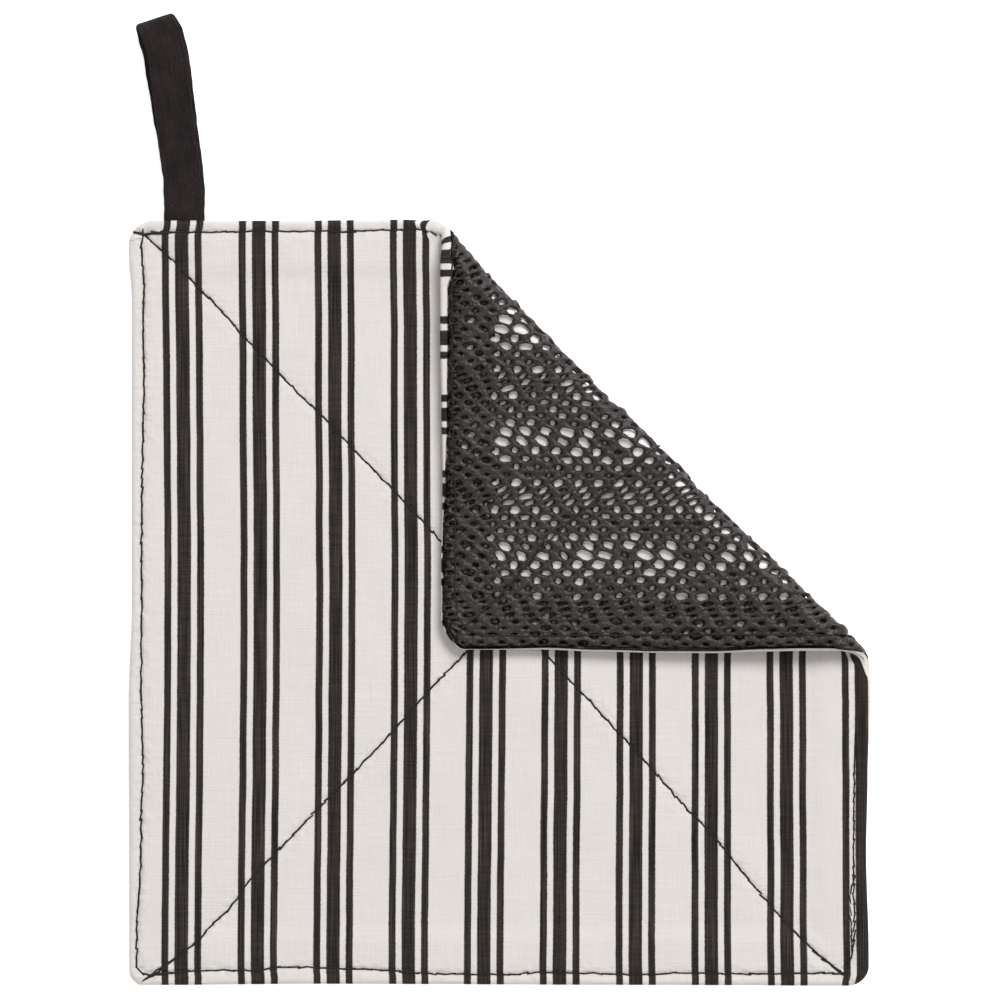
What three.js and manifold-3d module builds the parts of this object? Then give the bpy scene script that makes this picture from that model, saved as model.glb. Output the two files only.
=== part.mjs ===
// Jar gripper: a sewn square of striped cotton backed with a non-slip net, with
// a hanging loop of folded strip at one corner. It lies face up on a table, and
// the corner beside the loop is folded over so that the net shows.
// Millimetres, +Z up. X runs across the square and Y along it, towards the loop.
//
// The square is drawn flat, with heights measured up from the outer face of the
// net, and is then bent along the fold. Places on the flat square are measured
// from its middle.

import * as THREE from 'three';
import { mergeVertices } from 'three/addons/utils/BufferGeometryUtils.js';
import Module from 'manifold-3d';

const wasm = await Module();
wasm.setup();

// Sewn size of the square
const WIDTH = 200;
const LENGTH = 207.6;

// Thickness of each piece, and the gap between neighbouring pieces
const NET = 1.5;
const CLOTH = 1.0;
const GAP = 0.3;
const CLOTH_UNDER = NET + GAP;
const CLOTH_TOP = CLOTH_UNDER + CLOTH;

// Rounding of the turned edge of the cotton
const EDGE_ROUND = 0.6;
const EDGE_STEPS = 2;
const CORNER_STEPS = 5;

// The seam allowance turned to the inside thickens a band along every edge
const BAND = { flat: 12, end: 16, rise: 0.6 };

// Shallow furrow along each of the two diagonal lines of stitching
const FURROW = { half: 2, deep: 0.3 };
const DIAGONALS = [
  { from: [-95, 99.7], to: [95, -99.8] },
  { from: [-95.7, -101.2], to: [95, 99] },
];

// The four sides, going round clockwise from the corner by the loop. Each row
// gives a place along the side, how far the edge strays outwards there, and how
// wide the cotton shows where it is turned over the rim of the net. The legs are
// the lengths that the corners take at the two ends, and bend is the fullness of
// the corner at the far end: 0.55 is round and 0 is cut straight.
const SIDES = [
  {
    name: 'loop side', way: [1, 0], out: [0, 1], apart: LENGTH / 2, reach: WIDTH / 2,
    legs: [6, 10.3], bend: 0.25,
    rows: [
      { at: -60, stray: -0.2, lip: 1.2 },
      { at: -20, stray: 0.3, lip: 2.6 },
      { at: 5, stray: 0, lip: 2.0 },
      { at: 50, stray: 0, lip: 1.0 },
      { at: 85, stray: 0, lip: 0.5 },
    ],
  },
  {
    name: 'right side', way: [0, -1], out: [1, 0], apart: WIDTH / 2, reach: LENGTH / 2,
    legs: [10.3, 5], bend: 0.5,
    rows: [
      { at: -85, stray: 0.1, lip: 0.5 },
      { at: 14, stray: 0.2, lip: 0.7 },
      { at: 24, stray: 0.7, lip: 1.2 },
      { at: 47, stray: -0.1, lip: 1.2 },
      { at: 68, stray: -0.5, lip: 1.2 },
      { at: 95, stray: 0.2, lip: 1.2 },
    ],
  },
  {
    name: 'foot side', way: [-1, 0], out: [0, -1], apart: LENGTH / 2, reach: WIDTH / 2,
    legs: [5.5, 3], bend: 0.4,
    rows: [
      { at: -92, stray: 0.3, lip: 1.2 },
      { at: -40, stray: 0.1, lip: 1.2 },
      { at: 50, stray: -0.2, lip: 1.2 },
      { at: 90, stray: 0.1, lip: 1.2 },
    ],
  },
  {
    name: 'left side', way: [0, 1], out: [-1, 0], apart: WIDTH / 2, reach: LENGTH / 2,
    legs: [3.5, 6.5], bend: 0.5,
    rows: [
      { at: -90, stray: 0.6, lip: 1.2 },
      { at: -28, stray: 0.7, lip: 1.2 },
      { at: 0, stray: -0.1, lip: 1.2 },
      { at: 82, stray: -0.1, lip: 1.2 },
      { at: 94, stray: 0.7, lip: 1.2 },
    ],
  },
];

// The fold runs at 45 degrees across the corner. MIRROR is how far from the
// middle lies the line on which the flat square mirrors into the flap. The rows
// follow the section from the start of the bend to the tip of the flap: length
// along the neutral layer, turn in degrees, and the steps it is drawn with.
const MIRROR = 61.7;
const NEUTRAL = 1.0;
const BEND_RADIUS = 3.6;
const LEAN = 3.3;
const FOLD = [
  { length: BEND_RADIUS * THREE.MathUtils.degToRad(180 + LEAN), turn: 180 + LEAN, steps: 10 },
  { length: 34, turn: 0, steps: 1 },
  { length: 26, turn: -LEAN, steps: 2 },
  { length: 60, turn: 0, steps: 1 },
];

// The thick seams push the bend outwards where it ends at the edges
const SWELL = { out: 1.1, end: 16 };

// Hanging loop: a strip that leaves the seam, turns over at the tip and comes
// back below itself. PROFILE is its side view, from the lower end to the upper:
// distance from the edge of the square and height above the table. PLAN is the
// middle line seen from above.
const LOOP = { middle: -85.6, width: 10.2, thick: 1.0, tuck: 6.1, shift: 1.4, steps: 88 };
const PROFILE = [
  { along: -LOOP.tuck, height: 1.4 },
  { along: 0, height: 1.4 },
  { along: 8, height: 1.1 },
  { along: 20, height: 0.9 },
  { along: 40, height: 0.9 },
  { along: 52.1, height: 0.9 },
  { along: 54.1, height: 1.7 },
  { along: 54.9, height: 3.7 },
  { along: 54.1, height: 5.7 },
  { along: 52.1, height: 6.5 },
  { along: 46, height: 6.5 },
  { along: 38, height: 6.1 },
  { along: 28, height: 4.7 },
  { along: 18, height: 3.3 },
  { along: 10, height: 2.7 },
  { along: 0, height: 2.6 },
  { along: -LOOP.tuck, height: 2.6 },
];
const PLAN = [
  { across: 0, along: 0 },
  { across: -0.2, along: 11 },
  { across: -2.0, along: 27 },
  { across: -4.0, along: 43.4 },
  { across: -8.2, along: 54.4 },
];

// Room for the two ends of the loop in the seam, and the rise of the cotton over it
const POCKET = { side: 0.4, back: 0.4, floor: 0.43 };
const HUMP = { across: 12, along: 13, rise: 1.9, from: 2.0, around: 20, rings: 10 };

const clamp = THREE.MathUtils.clamp;

// Outline of the square on the flat, drawn in by the inset of each row
function outline(inset) {
  const stops = SIDES.map((side) => {
    const { rows, legs, reach } = side;
    const ends = [{ ...rows[0], at: legs[0] - reach }, { ...rows.at(-1), at: reach - legs[1] }];
    return [ends[0], ...rows, ends[1]].map((row) => {
      const off = side.apart + row.stray - inset(row);
      return new THREE.Vector2(
        side.way[0] * row.at + side.out[0] * off,
        side.way[1] * row.at + side.out[1] * off,
      );
    });
  });
  const shape = new THREE.Shape();
  shape.moveTo(stops[0][0].x, stops[0][0].y);
  stops.forEach((points, i) => {
    points.slice(1).forEach((point) => shape.lineTo(point.x, point.y));
    const from = points.at(-1);
    const to = stops[(i + 1) % stops.length][0];
    const level = SIDES[i].way[0] !== 0;
    const corner = level ? new THREE.Vector2(to.x, from.y) : new THREE.Vector2(from.x, to.y);
    const a = from.clone().lerp(corner, SIDES[i].bend);
    const b = to.clone().lerp(corner, SIDES[i].bend);
    shape.bezierCurveTo(a.x, a.y, b.x, b.y, to.x, to.y);
  });
  return shape;
}

// Plate of an outline between two heights, its rims rounded if asked
function plate(shape, low, high, round = 0) {
  const geometry = new THREE.ExtrudeGeometry(shape, {
    depth: high - low - 2 * round,
    curveSegments: CORNER_STEPS,
    bevelEnabled: round > 0,
    bevelThickness: round,
    bevelSize: round,
    bevelOffset: -round,
    bevelSegments: EDGE_STEPS,
  });
  return geometry.translate(0, 0, low + round);
}

// Box from its lowest to its highest corner
function block(low, high) {
  const size = high.map((value, i) => value - low[i]);
  const middle = high.map((value, i) => (value + low[i]) / 2);
  return new THREE.BoxGeometry(...size).translate(...middle);
}

// Solid of a closed geometry, for joining and cutting
function solid(geometry) {
  const bare = geometry.clone();
  bare.deleteAttribute('normal');
  bare.deleteAttribute('uv');
  const merged = mergeVertices(bare, 1e-4);
  return new wasm.Manifold(new wasm.Mesh({
    numProp: 3,
    vertProperties: new Float32Array(merged.attributes.position.array),
    triVerts: new Uint32Array(merged.index.array),
  }));
}

// Points and faces of a solid, as plain lists
function net(body) {
  const mesh = body.getMesh();
  const points = [];
  for (let i = 0; i < mesh.vertProperties.length; i += mesh.numProp) {
    points.push([...mesh.vertProperties.slice(i, i + 3)]);
  }
  const faces = [];
  for (let i = 0; i < mesh.triVerts.length; i += 3) {
    faces.push([...mesh.triVerts.slice(i, i + 3)]);
  }
  return { points, faces };
}

// Twice the area of a ring of points seen from above, positive anticlockwise
function turning(ring) {
  return ring.reduce((sum, a, i) => {
    const b = ring[(i + 1) % ring.length];
    return sum + a[0] * b[1] - a[1] * b[0];
  }, 0);
}

// Joins neighbouring level faces into larger ones, as long as they stay convex
// or very nearly so
function join({ points, faces }) {
  const current = new Set(faces);
  const owner = new Map();
  const claim = (face) => face.forEach((a, i) => {
    owner.set(`${a}_${face[(i + 1) % face.length]}`, face);
  });
  const levelOf = (face) => {
    const ring = face.map((i) => points[i]);
    const level = ring.every((point) => Math.abs(point[2] - ring[0][2]) < 1e-4);
    return level && `${ring[0][2].toFixed(2)} ${turning(ring) > 0}`;
  };
  const open = (face, at, up) => {
    const [a, b, c] = [-1, 0, 1].map((step) => {
      const [x, y] = points[face[(at + step + face.length) % face.length]];
      return new THREE.Vector2(x, y);
    });
    return up * b.sub(a).normalize().cross(c.sub(a).normalize()) > -0.02;
  };
  faces.forEach(claim);
  for (const key of [...owner.keys()]) {
    const [a, b] = key.split('_').map(Number);
    const face = owner.get(key);
    const other = owner.get(`${b}_${a}`);
    if (face === other || !current.has(face) || !current.has(other)) continue;
    const level = levelOf(face);
    if (!level || level !== levelOf(other)) continue;
    const turned = (ring, start) => {
      const at = ring.indexOf(start);
      return [...ring.slice(at), ...ring.slice(0, at)];
    };
    const ring = [...turned(face, b), ...turned(other, a).slice(1, -1)];
    const up = level.endsWith('true') ? 1 : -1;
    const simple = new Set(ring).size === ring.length;
    if (simple && open(ring, ring.indexOf(a), up) && open(ring, ring.indexOf(b), up)) {
      current.delete(face);
      current.delete(other);
      current.add(ring);
      claim(ring);
    }
  }
  return { points, faces: [...current] };
}

// Cuts the faces along straight lines of the flat square, so that they can bend
// there. A line is a direction across it and its distance from the middle.
function crease({ points, faces }, lines) {
  let current = faces;
  for (const { across, offset } of lines) {
    const side = points.map(([x, y]) => {
      const away = x * across[0] + y * across[1] - offset;
      return Math.abs(away) < 1e-4 ? 0 : away;
    });
    const cuts = new Map();
    const cut = (a, b) => {
      const key = a < b ? `${a}_${b}` : `${b}_${a}`;
      if (!cuts.has(key)) {
        const share = side[a] / (side[a] - side[b]);
        cuts.set(key, points.length);
        points.push(points[a].map((value, i) => value + (points[b][i] - value) * share));
        side.push(0);
      }
      return cuts.get(key);
    };
    const next = [];
    for (const face of current) {
      if (!face.some((a) => side[a] > 0) || !face.some((a) => side[a] < 0)) {
        next.push(face);
        continue;
      }
      const front = [];
      const back = [];
      face.forEach((a, i) => {
        const b = face[(i + 1) % face.length];
        if (side[a] >= 0) front.push(a);
        if (side[a] <= 0) back.push(a);
        if (side[a] * side[b] < 0) {
          const middle = cut(a, b);
          front.push(middle);
          back.push(middle);
        }
      });
      next.push(front, back);
    }
    current = next;
  }
  return { points, faces: current };
}

// Splits the faces into triangles
function triangles({ points, faces }) {
  const split = faces.flatMap((face) => {
    if (face.length === 3) return [face];
    const ring = face.map((i) => new THREE.Vector3(...points[i]));
    const normal = new THREE.Vector3();
    ring.forEach((point, i) => normal.add(point.clone().cross(ring[(i + 1) % ring.length])));
    const turn = new THREE.Quaternion()
      .setFromUnitVectors(normal.normalize(), new THREE.Vector3(0, 0, 1));
    const flat = ring.map((point) => point.applyQuaternion(turn))
      .map(({ x, y }) => new THREE.Vector2(x, y));
    const cells = THREE.ShapeUtils.triangulateShape(flat, []);
    if (cells.length === face.length - 2) return cells.map((cell) => cell.map((i) => face[i]));
    points.push([0, 1, 2].map((axis) => (
      face.reduce((sum, i) => sum + points[i][axis], 0) / face.length
    )));
    return face.map((a, i) => [a, face[(i + 1) % face.length], points.length - 1]);
  });
  return { points, faces: split };
}

// Lines across the flat square along which the sheets are creased
const DIAGONAL = Math.SQRT1_2;
const BEND_START = MIRROR - (FOLD[0].length
  + BEND_RADIUS * Math.sin(THREE.MathUtils.degToRad(FOLD[0].turn))) / 2;

function foldLines() {
  const lines = [];
  let start = BEND_START;
  for (const { length, steps } of FOLD) {
    for (let i = 0; i < steps; i += 1) {
      lines.push({ across: [DIAGONAL, DIAGONAL], offset: start + (length * i) / steps });
    }
    start += length;
  }
  return lines;
}

function bandLines() {
  return [BAND.flat, BAND.end].flatMap((inset) => [1, -1].flatMap((sign) => [
    { across: [1, 0], offset: sign * (WIDTH / 2 - inset) },
    { across: [0, 1], offset: sign * (LENGTH / 2 - inset) },
  ]));
}

function acrossDiagonal({ from, to }) {
  const run = new THREE.Vector2(to[0] - from[0], to[1] - from[1]).normalize();
  return { across: [-run.y, run.x], offset: -run.y * from[0] + run.x * from[1] };
}

function furrowLines() {
  return DIAGONALS.map(acrossDiagonal).flatMap(({ across, offset }) => (
    [-FURROW.half, 0, FURROW.half].map((away) => ({ across, offset: offset + away }))
  ));
}

// How much of the seam band's thickness lies at a place, from 0 to 1
function band(x, y, end = BAND.end, flat = BAND.flat) {
  const inset = Math.min(WIDTH / 2 - Math.abs(x), LENGTH / 2 - Math.abs(y));
  return clamp((end - inset) / (end - flat), 0, 1);
}

// Depth of the diagonal furrows at a place
function furrow(x, y) {
  const depths = DIAGONALS.map(acrossDiagonal).map(({ across, offset }) => {
    const away = Math.abs(x * across[0] + y * across[1] - offset);
    return FURROW.deep * clamp(1 - away / FURROW.half, 0, 1);
  });
  return Math.max(...depths) * (1 - band(x, y));
}

// Point and direction of the folded section at a distance along the flat square
function section(distance) {
  let place = Math.min(distance, BEND_START);
  let height = NEUTRAL;
  let heading = 0;
  let left = distance - BEND_START;
  for (const { length, turn } of FOLD) {
    if (left <= 0) break;
    const run = Math.min(left, length);
    const bend = THREE.MathUtils.degToRad(turn) / length;
    const after = heading + bend * run;
    if (bend === 0) {
      place += run * Math.cos(heading);
      height += run * Math.sin(heading);
    } else {
      place += (Math.sin(after) - Math.sin(heading)) / bend;
      height += (Math.cos(heading) - Math.cos(after)) / bend;
    }
    heading = after;
    left -= run;
  }
  return { place, height, heading };
}

// Takes a point of the flat square to where it lies when the corner is folded
function fold([x, y, z]) {
  const lift = BAND.rise * band(x, y) * clamp(z / NET, 0, 1);
  const topShare = clamp((z - CLOTH_UNDER) / CLOTH, 0, 1);
  const footShare = clamp(1 - z / NET, 0, 1);
  const level = z + lift + furrow(x, y) * (footShare - topShare);

  const distance = (x + y) * DIAGONAL;
  const along = (y - x) * DIAGONAL;
  const { place, height, heading } = section(distance);
  const inBend = clamp((distance - BEND_START) / FOLD[0].length, 0, 1);
  const swell = SWELL.out * Math.sin(Math.PI * inBend) ** 2 * band(x, y, SWELL.end, 0);
  const above = level - NEUTRAL - swell;
  const reach = place - above * Math.sin(heading);
  return [
    (reach - along) * DIAGONAL,
    (reach + along) * DIAGONAL,
    height + above * Math.cos(heading),
  ];
}

function geometryOf({ points, faces }) {
  const geometry = new THREE.BufferGeometry();
  geometry.setAttribute('position', new THREE.Float32BufferAttribute(points.flat(), 3));
  geometry.setIndex(faces.flat());
  geometry.computeVertexNormals();
  return geometry;
}

function foldedSheet(body, lines) {
  const { points, faces } = triangles(crease(join(net(body)), lines));
  return geometryOf({ points: points.map(fold), faces });
}

// Seat of the loop's two ends between the net and the cotton
function pocket(low, high) {
  const half = LOOP.width / 2 + POCKET.side;
  const back = LENGTH / 2 - LOOP.tuck - POCKET.back;
  return solid(block(
    [LOOP.middle - half, back, low],
    [LOOP.middle + half, LENGTH / 2 + LOOP.width, high],
  ));
}

// Striped cotton face: a sheet whose edge is turned down round the rim of the
// net, with a low rise over the ends of the loop
function faceCloth() {
  const whole = outline(() => 0);
  const sheet = solid(plate(whole, GAP, CLOTH_TOP, EDGE_ROUND));
  const inside = solid(plate(outline((row) => row.lip), -GAP, CLOTH_UNDER));
  const rise = new THREE.SphereGeometry(1, HUMP.around, HUMP.rings)
    .scale(HUMP.across, HUMP.along, HUMP.rise)
    .translate(LOOP.middle, LENGTH / 2, HUMP.from);
  const hump = solid(rise)
    .intersect(solid(plate(whole, CLOTH_UNDER, CLOTH_TOP + HUMP.rise)));
  const body = sheet.subtract(inside).add(hump).subtract(pocket(-GAP, CLOTH_TOP));
  return foldedSheet(body, [...foldLines(), ...bandLines(), ...furrowLines()]);
}

// Non-slip net: the back of the square, inside the turned edge of the cotton
function gripMesh() {
  const sheet = solid(plate(outline((row) => row.lip + GAP), 0, NET));
  const body = sheet.subtract(pocket(POCKET.floor, CLOTH_UNDER));
  return foldedSheet(body, [...foldLines(), ...bandLines(), ...furrowLines()]);
}

// Hanging loop: a flat strip bent along its side view and swept sideways
function hangingLoop() {
  const sideView = new THREE.CatmullRomCurve3(
    PROFILE.map(({ along, height }) => new THREE.Vector3(0, along, height)),
    false, 'centripetal',
  );
  const plan = new THREE.CatmullRomCurve3(
    PLAN.map(({ across, along }) => new THREE.Vector3(across, along, 0)),
  );
  const planLength = plan.getLength();
  const strip = new THREE.BoxGeometry(LOOP.width, LOOP.thick, 1, 1, 1, LOOP.steps);
  strip.deleteAttribute('normal');
  strip.deleteAttribute('uv');
  const geometry = mergeVertices(strip);
  const position = geometry.attributes.position;
  for (let i = 0; i < position.count; i += 1) {
    const across = -position.getX(i);
    const thick = position.getY(i);
    const share = clamp(position.getZ(i) + 0.5, 0, 1);
    const spot = sideView.getPointAt(share);
    const way = sideView.getTangentAt(share);
    const along = spot.y - thick * way.z;
    const height = spot.z + thick * way.y;
    const lower = clamp((0.5 - share) * 12 + 0.5, 0, 1) * clamp((along - 12) / 28, 0, 1);
    const reach = clamp(along / planLength, 0, 1);
    const middle = plan.getPointAt(reach);
    const run = plan.getTangentAt(reach);
    const extra = along - reach * planLength;
    const sideways = across - LOOP.shift * lower;
    position.setXYZ(
      i,
      LOOP.middle + middle.x + run.y * sideways + run.x * extra,
      LENGTH / 2 + middle.y - run.x * sideways + run.y * extra,
      height,
    );
  }
  geometry.computeVertexNormals();
  return geometry;
}

function piece(name, geometry, color, roughness) {
  const material = new THREE.MeshStandardMaterial({ color, roughness, metalness: 0 });
  const mesh = new THREE.Mesh(geometry, material);
  mesh.name = name;
  return mesh;
}

const gripper = new THREE.Group();
gripper.add(
  piece('face_cloth', faceCloth(), 0xe4ded9, 0.9),
  piece('grip_mesh', gripMesh(), 0x3d3734, 0.6),
  piece('hanging_loop', hangingLoop(), 0x2b2525, 0.85),
);

// The origin is the middle of the underside of the whole thing
const box = new THREE.Box3().setFromObject(gripper);
const centre = box.getCenter(new THREE.Vector3());
gripper.position.set(-centre.x, -centre.y, -box.min.z);

export default gripper;
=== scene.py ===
"""Jar gripper: striped cotton backed with non-slip net, with a hanging loop and one corner folded over.

The dressed pieces are drawn on the flat square, in millimetres from its middle, with heights measured up
from the outer face of the net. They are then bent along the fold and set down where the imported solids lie.
"""

import logging
import math
from dataclasses import dataclass
from enum import Enum
from typing import Any

import bpy
import numpy as np
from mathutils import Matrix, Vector


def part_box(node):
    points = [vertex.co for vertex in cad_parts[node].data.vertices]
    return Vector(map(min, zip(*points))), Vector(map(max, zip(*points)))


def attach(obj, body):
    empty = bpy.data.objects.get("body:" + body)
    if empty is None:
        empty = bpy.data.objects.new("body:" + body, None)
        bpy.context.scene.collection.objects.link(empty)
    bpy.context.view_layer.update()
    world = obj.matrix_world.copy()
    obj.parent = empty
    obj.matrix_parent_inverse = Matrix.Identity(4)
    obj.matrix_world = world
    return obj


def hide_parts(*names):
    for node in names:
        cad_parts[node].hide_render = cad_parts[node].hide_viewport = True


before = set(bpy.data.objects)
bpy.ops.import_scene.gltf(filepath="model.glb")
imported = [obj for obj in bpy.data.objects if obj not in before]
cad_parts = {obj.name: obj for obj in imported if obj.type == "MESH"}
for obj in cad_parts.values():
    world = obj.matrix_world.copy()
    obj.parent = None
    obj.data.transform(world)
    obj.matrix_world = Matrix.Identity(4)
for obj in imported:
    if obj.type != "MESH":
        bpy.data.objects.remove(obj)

LOG = logging.getLogger("jar_gripper")
MM = 0.001
FULL_TURN = 2 * math.pi
FLAT = "flat"
SEAMS = "seams"
Rows = tuple[tuple[float, ...], ...]


class Layer(Enum):
    """The two layers of net: its piece's name, the seed of its unevenness and the shift of its lattice."""

    FACE = ("net_sheet", 11, (0.0, 0.0))
    ALLOWANCE = ("net_allowance", 23, (2.6, 1.1))

    def __init__(self, piece: str, seed: int, shift: tuple[float, float]) -> None:
        """Keeps the layer's own values.

        Args:
            piece: The piece's name.
            seed: Seed of its unevenness.
            shift: How far its lattice is moved.
        """
        self.piece = piece
        self.seed = seed
        self.shift = shift


class Wire:
    """A socket of a node tree that takes part in Python arithmetic."""

    def __init__(self, board: "Board", socket: bpy.types.NodeSocket) -> None:
        """Keeps the socket and the board that new nodes go on."""
        self.board = board
        self.socket = socket

    def output(self, name: str | int) -> "Wire":
        """Another output of the same node."""
        return Wire(self.board, self.socket.node.outputs[name])

    def combined(self, operation: str, *others: "Wire | float") -> "Wire":
        """Adds one Math or Vector Math node that starts with this value.

        Args:
            operation: The node's operation.
            others: Its further inputs.

        Returns:
            The node's result.
        """
        return self.board.sum_up(operation, self, *others)

    def __add__(self, other: "Wire | float") -> "Wire":
        """Sum."""
        return self.combined("ADD", other)

    __radd__ = __add__

    def __sub__(self, other: "Wire | float") -> "Wire":
        """Difference."""
        return self.combined("SUBTRACT", other)

    def __rsub__(self, other: float) -> "Wire":
        """Difference from a plain number."""
        return self.board.sum_up("SUBTRACT", other, self)

    def __mul__(self, other: "Wire | float") -> "Wire":
        """Product."""
        return self.combined("MULTIPLY", other)

    __rmul__ = __mul__

    def __truediv__(self, other: "Wire | float") -> "Wire":
        """Quotient."""
        return self.combined("DIVIDE", other)

    def __rtruediv__(self, other: float) -> "Wire":
        """A plain number divided by the value."""
        return self.board.sum_up("DIVIDE", other, self)

    def __abs__(self) -> "Wire":
        """Size without sign."""
        return self.combined("ABSOLUTE")

    def least(self, other: "Wire | float") -> "Wire":
        """The smaller of two values."""
        return self.combined("MINIMUM", other)

    def most(self, other: "Wire | float") -> "Wire":
        """The larger of two values."""
        return self.combined("MAXIMUM", other)

    def clamped(self) -> "Wire":
        """The value kept from 0 to 1."""
        return self.most(0.0).least(1.0)

    def sine(self) -> "Wire":
        """Sine of an angle in radians."""
        return self.combined("SINE")

    def cosine(self) -> "Wire":
        """Cosine of an angle in radians."""
        return self.combined("COSINE")

    def scaled(self, share: "Wire | float") -> "Wire":
        """A vector or colour times a plain value."""
        return self.board.shade(self, share)

    def across(self, other: "Wire") -> "Wire":
        """A vector square to this one and another."""
        return self.board.node("ShaderNodeVectorMath", {"operation": "CROSS_PRODUCT"}, {0: self, 1: other})

    def ramp(self, start: float, end: float) -> "Wire":
        """0 up to the start and 1 from the end on, which may lie on either side of it."""
        return ((self - start) / (end - start)).clamped()

    def below(self, limit: "Wire | float", soft: float) -> "Wire":
        """A mask for where the value is under a limit.

        Args:
            limit: Where the mask is half.
            soft: Half the width of its edge.

        Returns:
            1 under the limit and 0 over it.
        """
        return ((limit - self) * (0.5 / soft) + 0.5).clamped()


class Board:
    """A node tree that is filled by Python expressions."""

    def __init__(self, tree: bpy.types.NodeTree) -> None:
        """Starts on an empty tree."""
        self.tree = tree
        tree.nodes.clear()

    def feed(self, socket: bpy.types.NodeSocket, value: Any) -> None:
        """Links a wire to a socket, or sets the socket's own value.

        Args:
            socket: The socket.
            value: A wire, or the value.
        """
        if isinstance(value, Wire):
            self.tree.links.new(value.socket, socket)
        elif socket.type == "VECTOR" and isinstance(value, float):
            socket.default_value = (value, value, value)
        else:
            socket.default_value = value

    def node(
        self, kind: str, settings: dict | None = None, inputs: dict | None = None, out: str | int = 0,
    ) -> Wire:
        """Adds a node.

        Args:
            kind: The node's type.
            settings: Its own properties.
            inputs: Values or wires, by socket name or number.
            out: Name or number of the output that is wanted.

        Returns:
            That output.
        """
        made = self.tree.nodes.new(kind)
        for name, value in (settings or {}).items():
            setattr(made, name, value)
        for key, value in (inputs or {}).items():
            self.feed(made.inputs[key], value)
        return Wire(self, made.outputs[out])

    def end(self, kind: str, inputs: dict) -> None:
        """Adds the tree's last node, which has no outputs.

        Args:
            kind: The node's type.
            inputs: Values or wires, by socket name.
        """
        made = self.tree.nodes.new(kind)
        for key, value in inputs.items():
            self.feed(made.inputs[key], value)

    def sum_up(self, operation: str, *terms: "Wire | float") -> Wire:
        """Adds one Math or Vector Math node.

        Args:
            operation: The node's operation.
            terms: Its inputs, in order.

        Returns:
            The node's result.
        """
        is_vector = any(isinstance(term, Wire) and term.socket.type == "VECTOR" for term in terms)
        kind = "ShaderNodeVectorMath" if is_vector else "ShaderNodeMath"
        return self.node(kind, {"operation": operation}, dict(enumerate(terms)))

    def joined(self, *parts: Wire) -> Wire:
        """Puts several geometries together.

        Args:
            parts: The geometries.

        Returns:
            All of them as one.
        """
        made = self.tree.nodes.new("GeometryNodeJoinGeometry")
        for part in parts:
            self.tree.links.new(part.socket, made.inputs[0])
        return Wire(self, made.outputs[0])

    def axes(self, vector: Wire) -> tuple[Wire, Wire, Wire]:
        """The three parts of a vector."""
        split = self.node("ShaderNodeSeparateXYZ", inputs={0: vector})
        return split, split.output("Y"), split.output("Z")

    def vector(self, x: Any = 0.0, y: Any = 0.0, z: Any = 0.0) -> Wire:
        """A vector of three parts."""
        return self.node("ShaderNodeCombineXYZ", inputs={0: x, 1: y, 2: z})

    def mixed(self, factor: Any, first: Any, second: Any) -> Wire:
        """A colour between two.

        Args:
            factor: Share of the second.
            first: A wire, or a colour with its alpha.
            second: The same.

        Returns:
            The mixed colour.
        """
        made = self.tree.nodes.new("ShaderNodeMix")
        made.data_type = "RGBA"
        slots = {socket.identifier: socket for socket in made.inputs}
        self.feed(slots["Factor_Float"], factor)
        self.feed(slots["A_Color"], first)
        self.feed(slots["B_Color"], second)
        result = next(socket for socket in made.outputs if socket.identifier == "Result_Color")
        return Wire(self, result)

    def shade(self, colour: "Wire | tuple[float, float, float]", tone: "Wire | float") -> Wire:
        """A colour or vector made larger or smaller by a plain value."""
        return self.node("ShaderNodeVectorMath", {"operation": "SCALE"}, {0: colour, "Scale": tone})

    def read(self, name: str) -> Wire:
        """A vector kept on the points of the mesh that a material is on."""
        return self.node("ShaderNodeAttribute", {"attribute_name": name}, out="Vector")

    def stored(self, name: str, kind: str = "FLOAT_VECTOR") -> Wire:
        """A value kept on the mesh that a geometry tree works on."""
        return self.node("GeometryNodeInputNamedAttribute", {"data_type": kind}, {"Name": name})

    def object_place(self) -> Wire:
        """Place on the object."""
        return self.node("ShaderNodeTexCoord", out="Object")

    def noise(self, place: Wire, scale: float, detail: float) -> Wire:
        """Smooth noise that mostly stays within 0.3 of 0.

        Args:
            place: Where it is read.
            scale: Its fineness.
            detail: How many finer layers it has.

        Returns:
            The noise.
        """
        inputs = {"Vector": place, "Scale": scale, "Detail": detail}
        return self.node("ShaderNodeTexNoise", {"noise_dimensions": "3D"}, inputs) - 0.5

    def surface(self, colour: Any, rough: Any, relief: Wire, depth: float, **shine: float) -> None:
        """Ends a material in one surface shader.

        Args:
            colour: Base colour.
            rough: Roughness.
            relief: Height of the relief in millimetres.
            depth: Share of the relief that shows.
            shine: Further values of the shader, with _ for a space.
        """
        bump = self.node("ShaderNodeBump", inputs={"Height": relief, "Strength": depth, "Distance": MM})
        inputs = {"Base Color": colour, "Roughness": rough, "Normal": bump}
        inputs.update({key.replace("_", " "): value for key, value in shine.items()})
        shader = self.node("ShaderNodeBsdfPrincipled", inputs=inputs)
        self.end("ShaderNodeOutputMaterial", {"Surface": shader})

    def deliver(self, geometry: Wire, material: bpy.types.Material) -> bpy.types.NodeTree:
        """Ends a geometry tree, with instances made real and the material set.

        Args:
            geometry: What the tree has made.
            material: Its material.

        Returns:
            The tree.
        """
        real = self.node("GeometryNodeRealizeInstances", inputs={"Geometry": geometry})
        done = self.node("GeometryNodeSetMaterial", inputs={"Geometry": real, "Material": material})
        self.end("NodeGroupOutput", {"Geometry": done})
        return self.tree


@dataclass(frozen=True)
class Grain:
    """Noise of one fineness, detail and strength."""

    scale: float
    detail: float
    strength: float = 1.0

    def on(self, board: Board, place: Wire) -> Wire:
        """The noise at a place."""
        return board.noise(place, self.scale, self.detail) * self.strength


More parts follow.
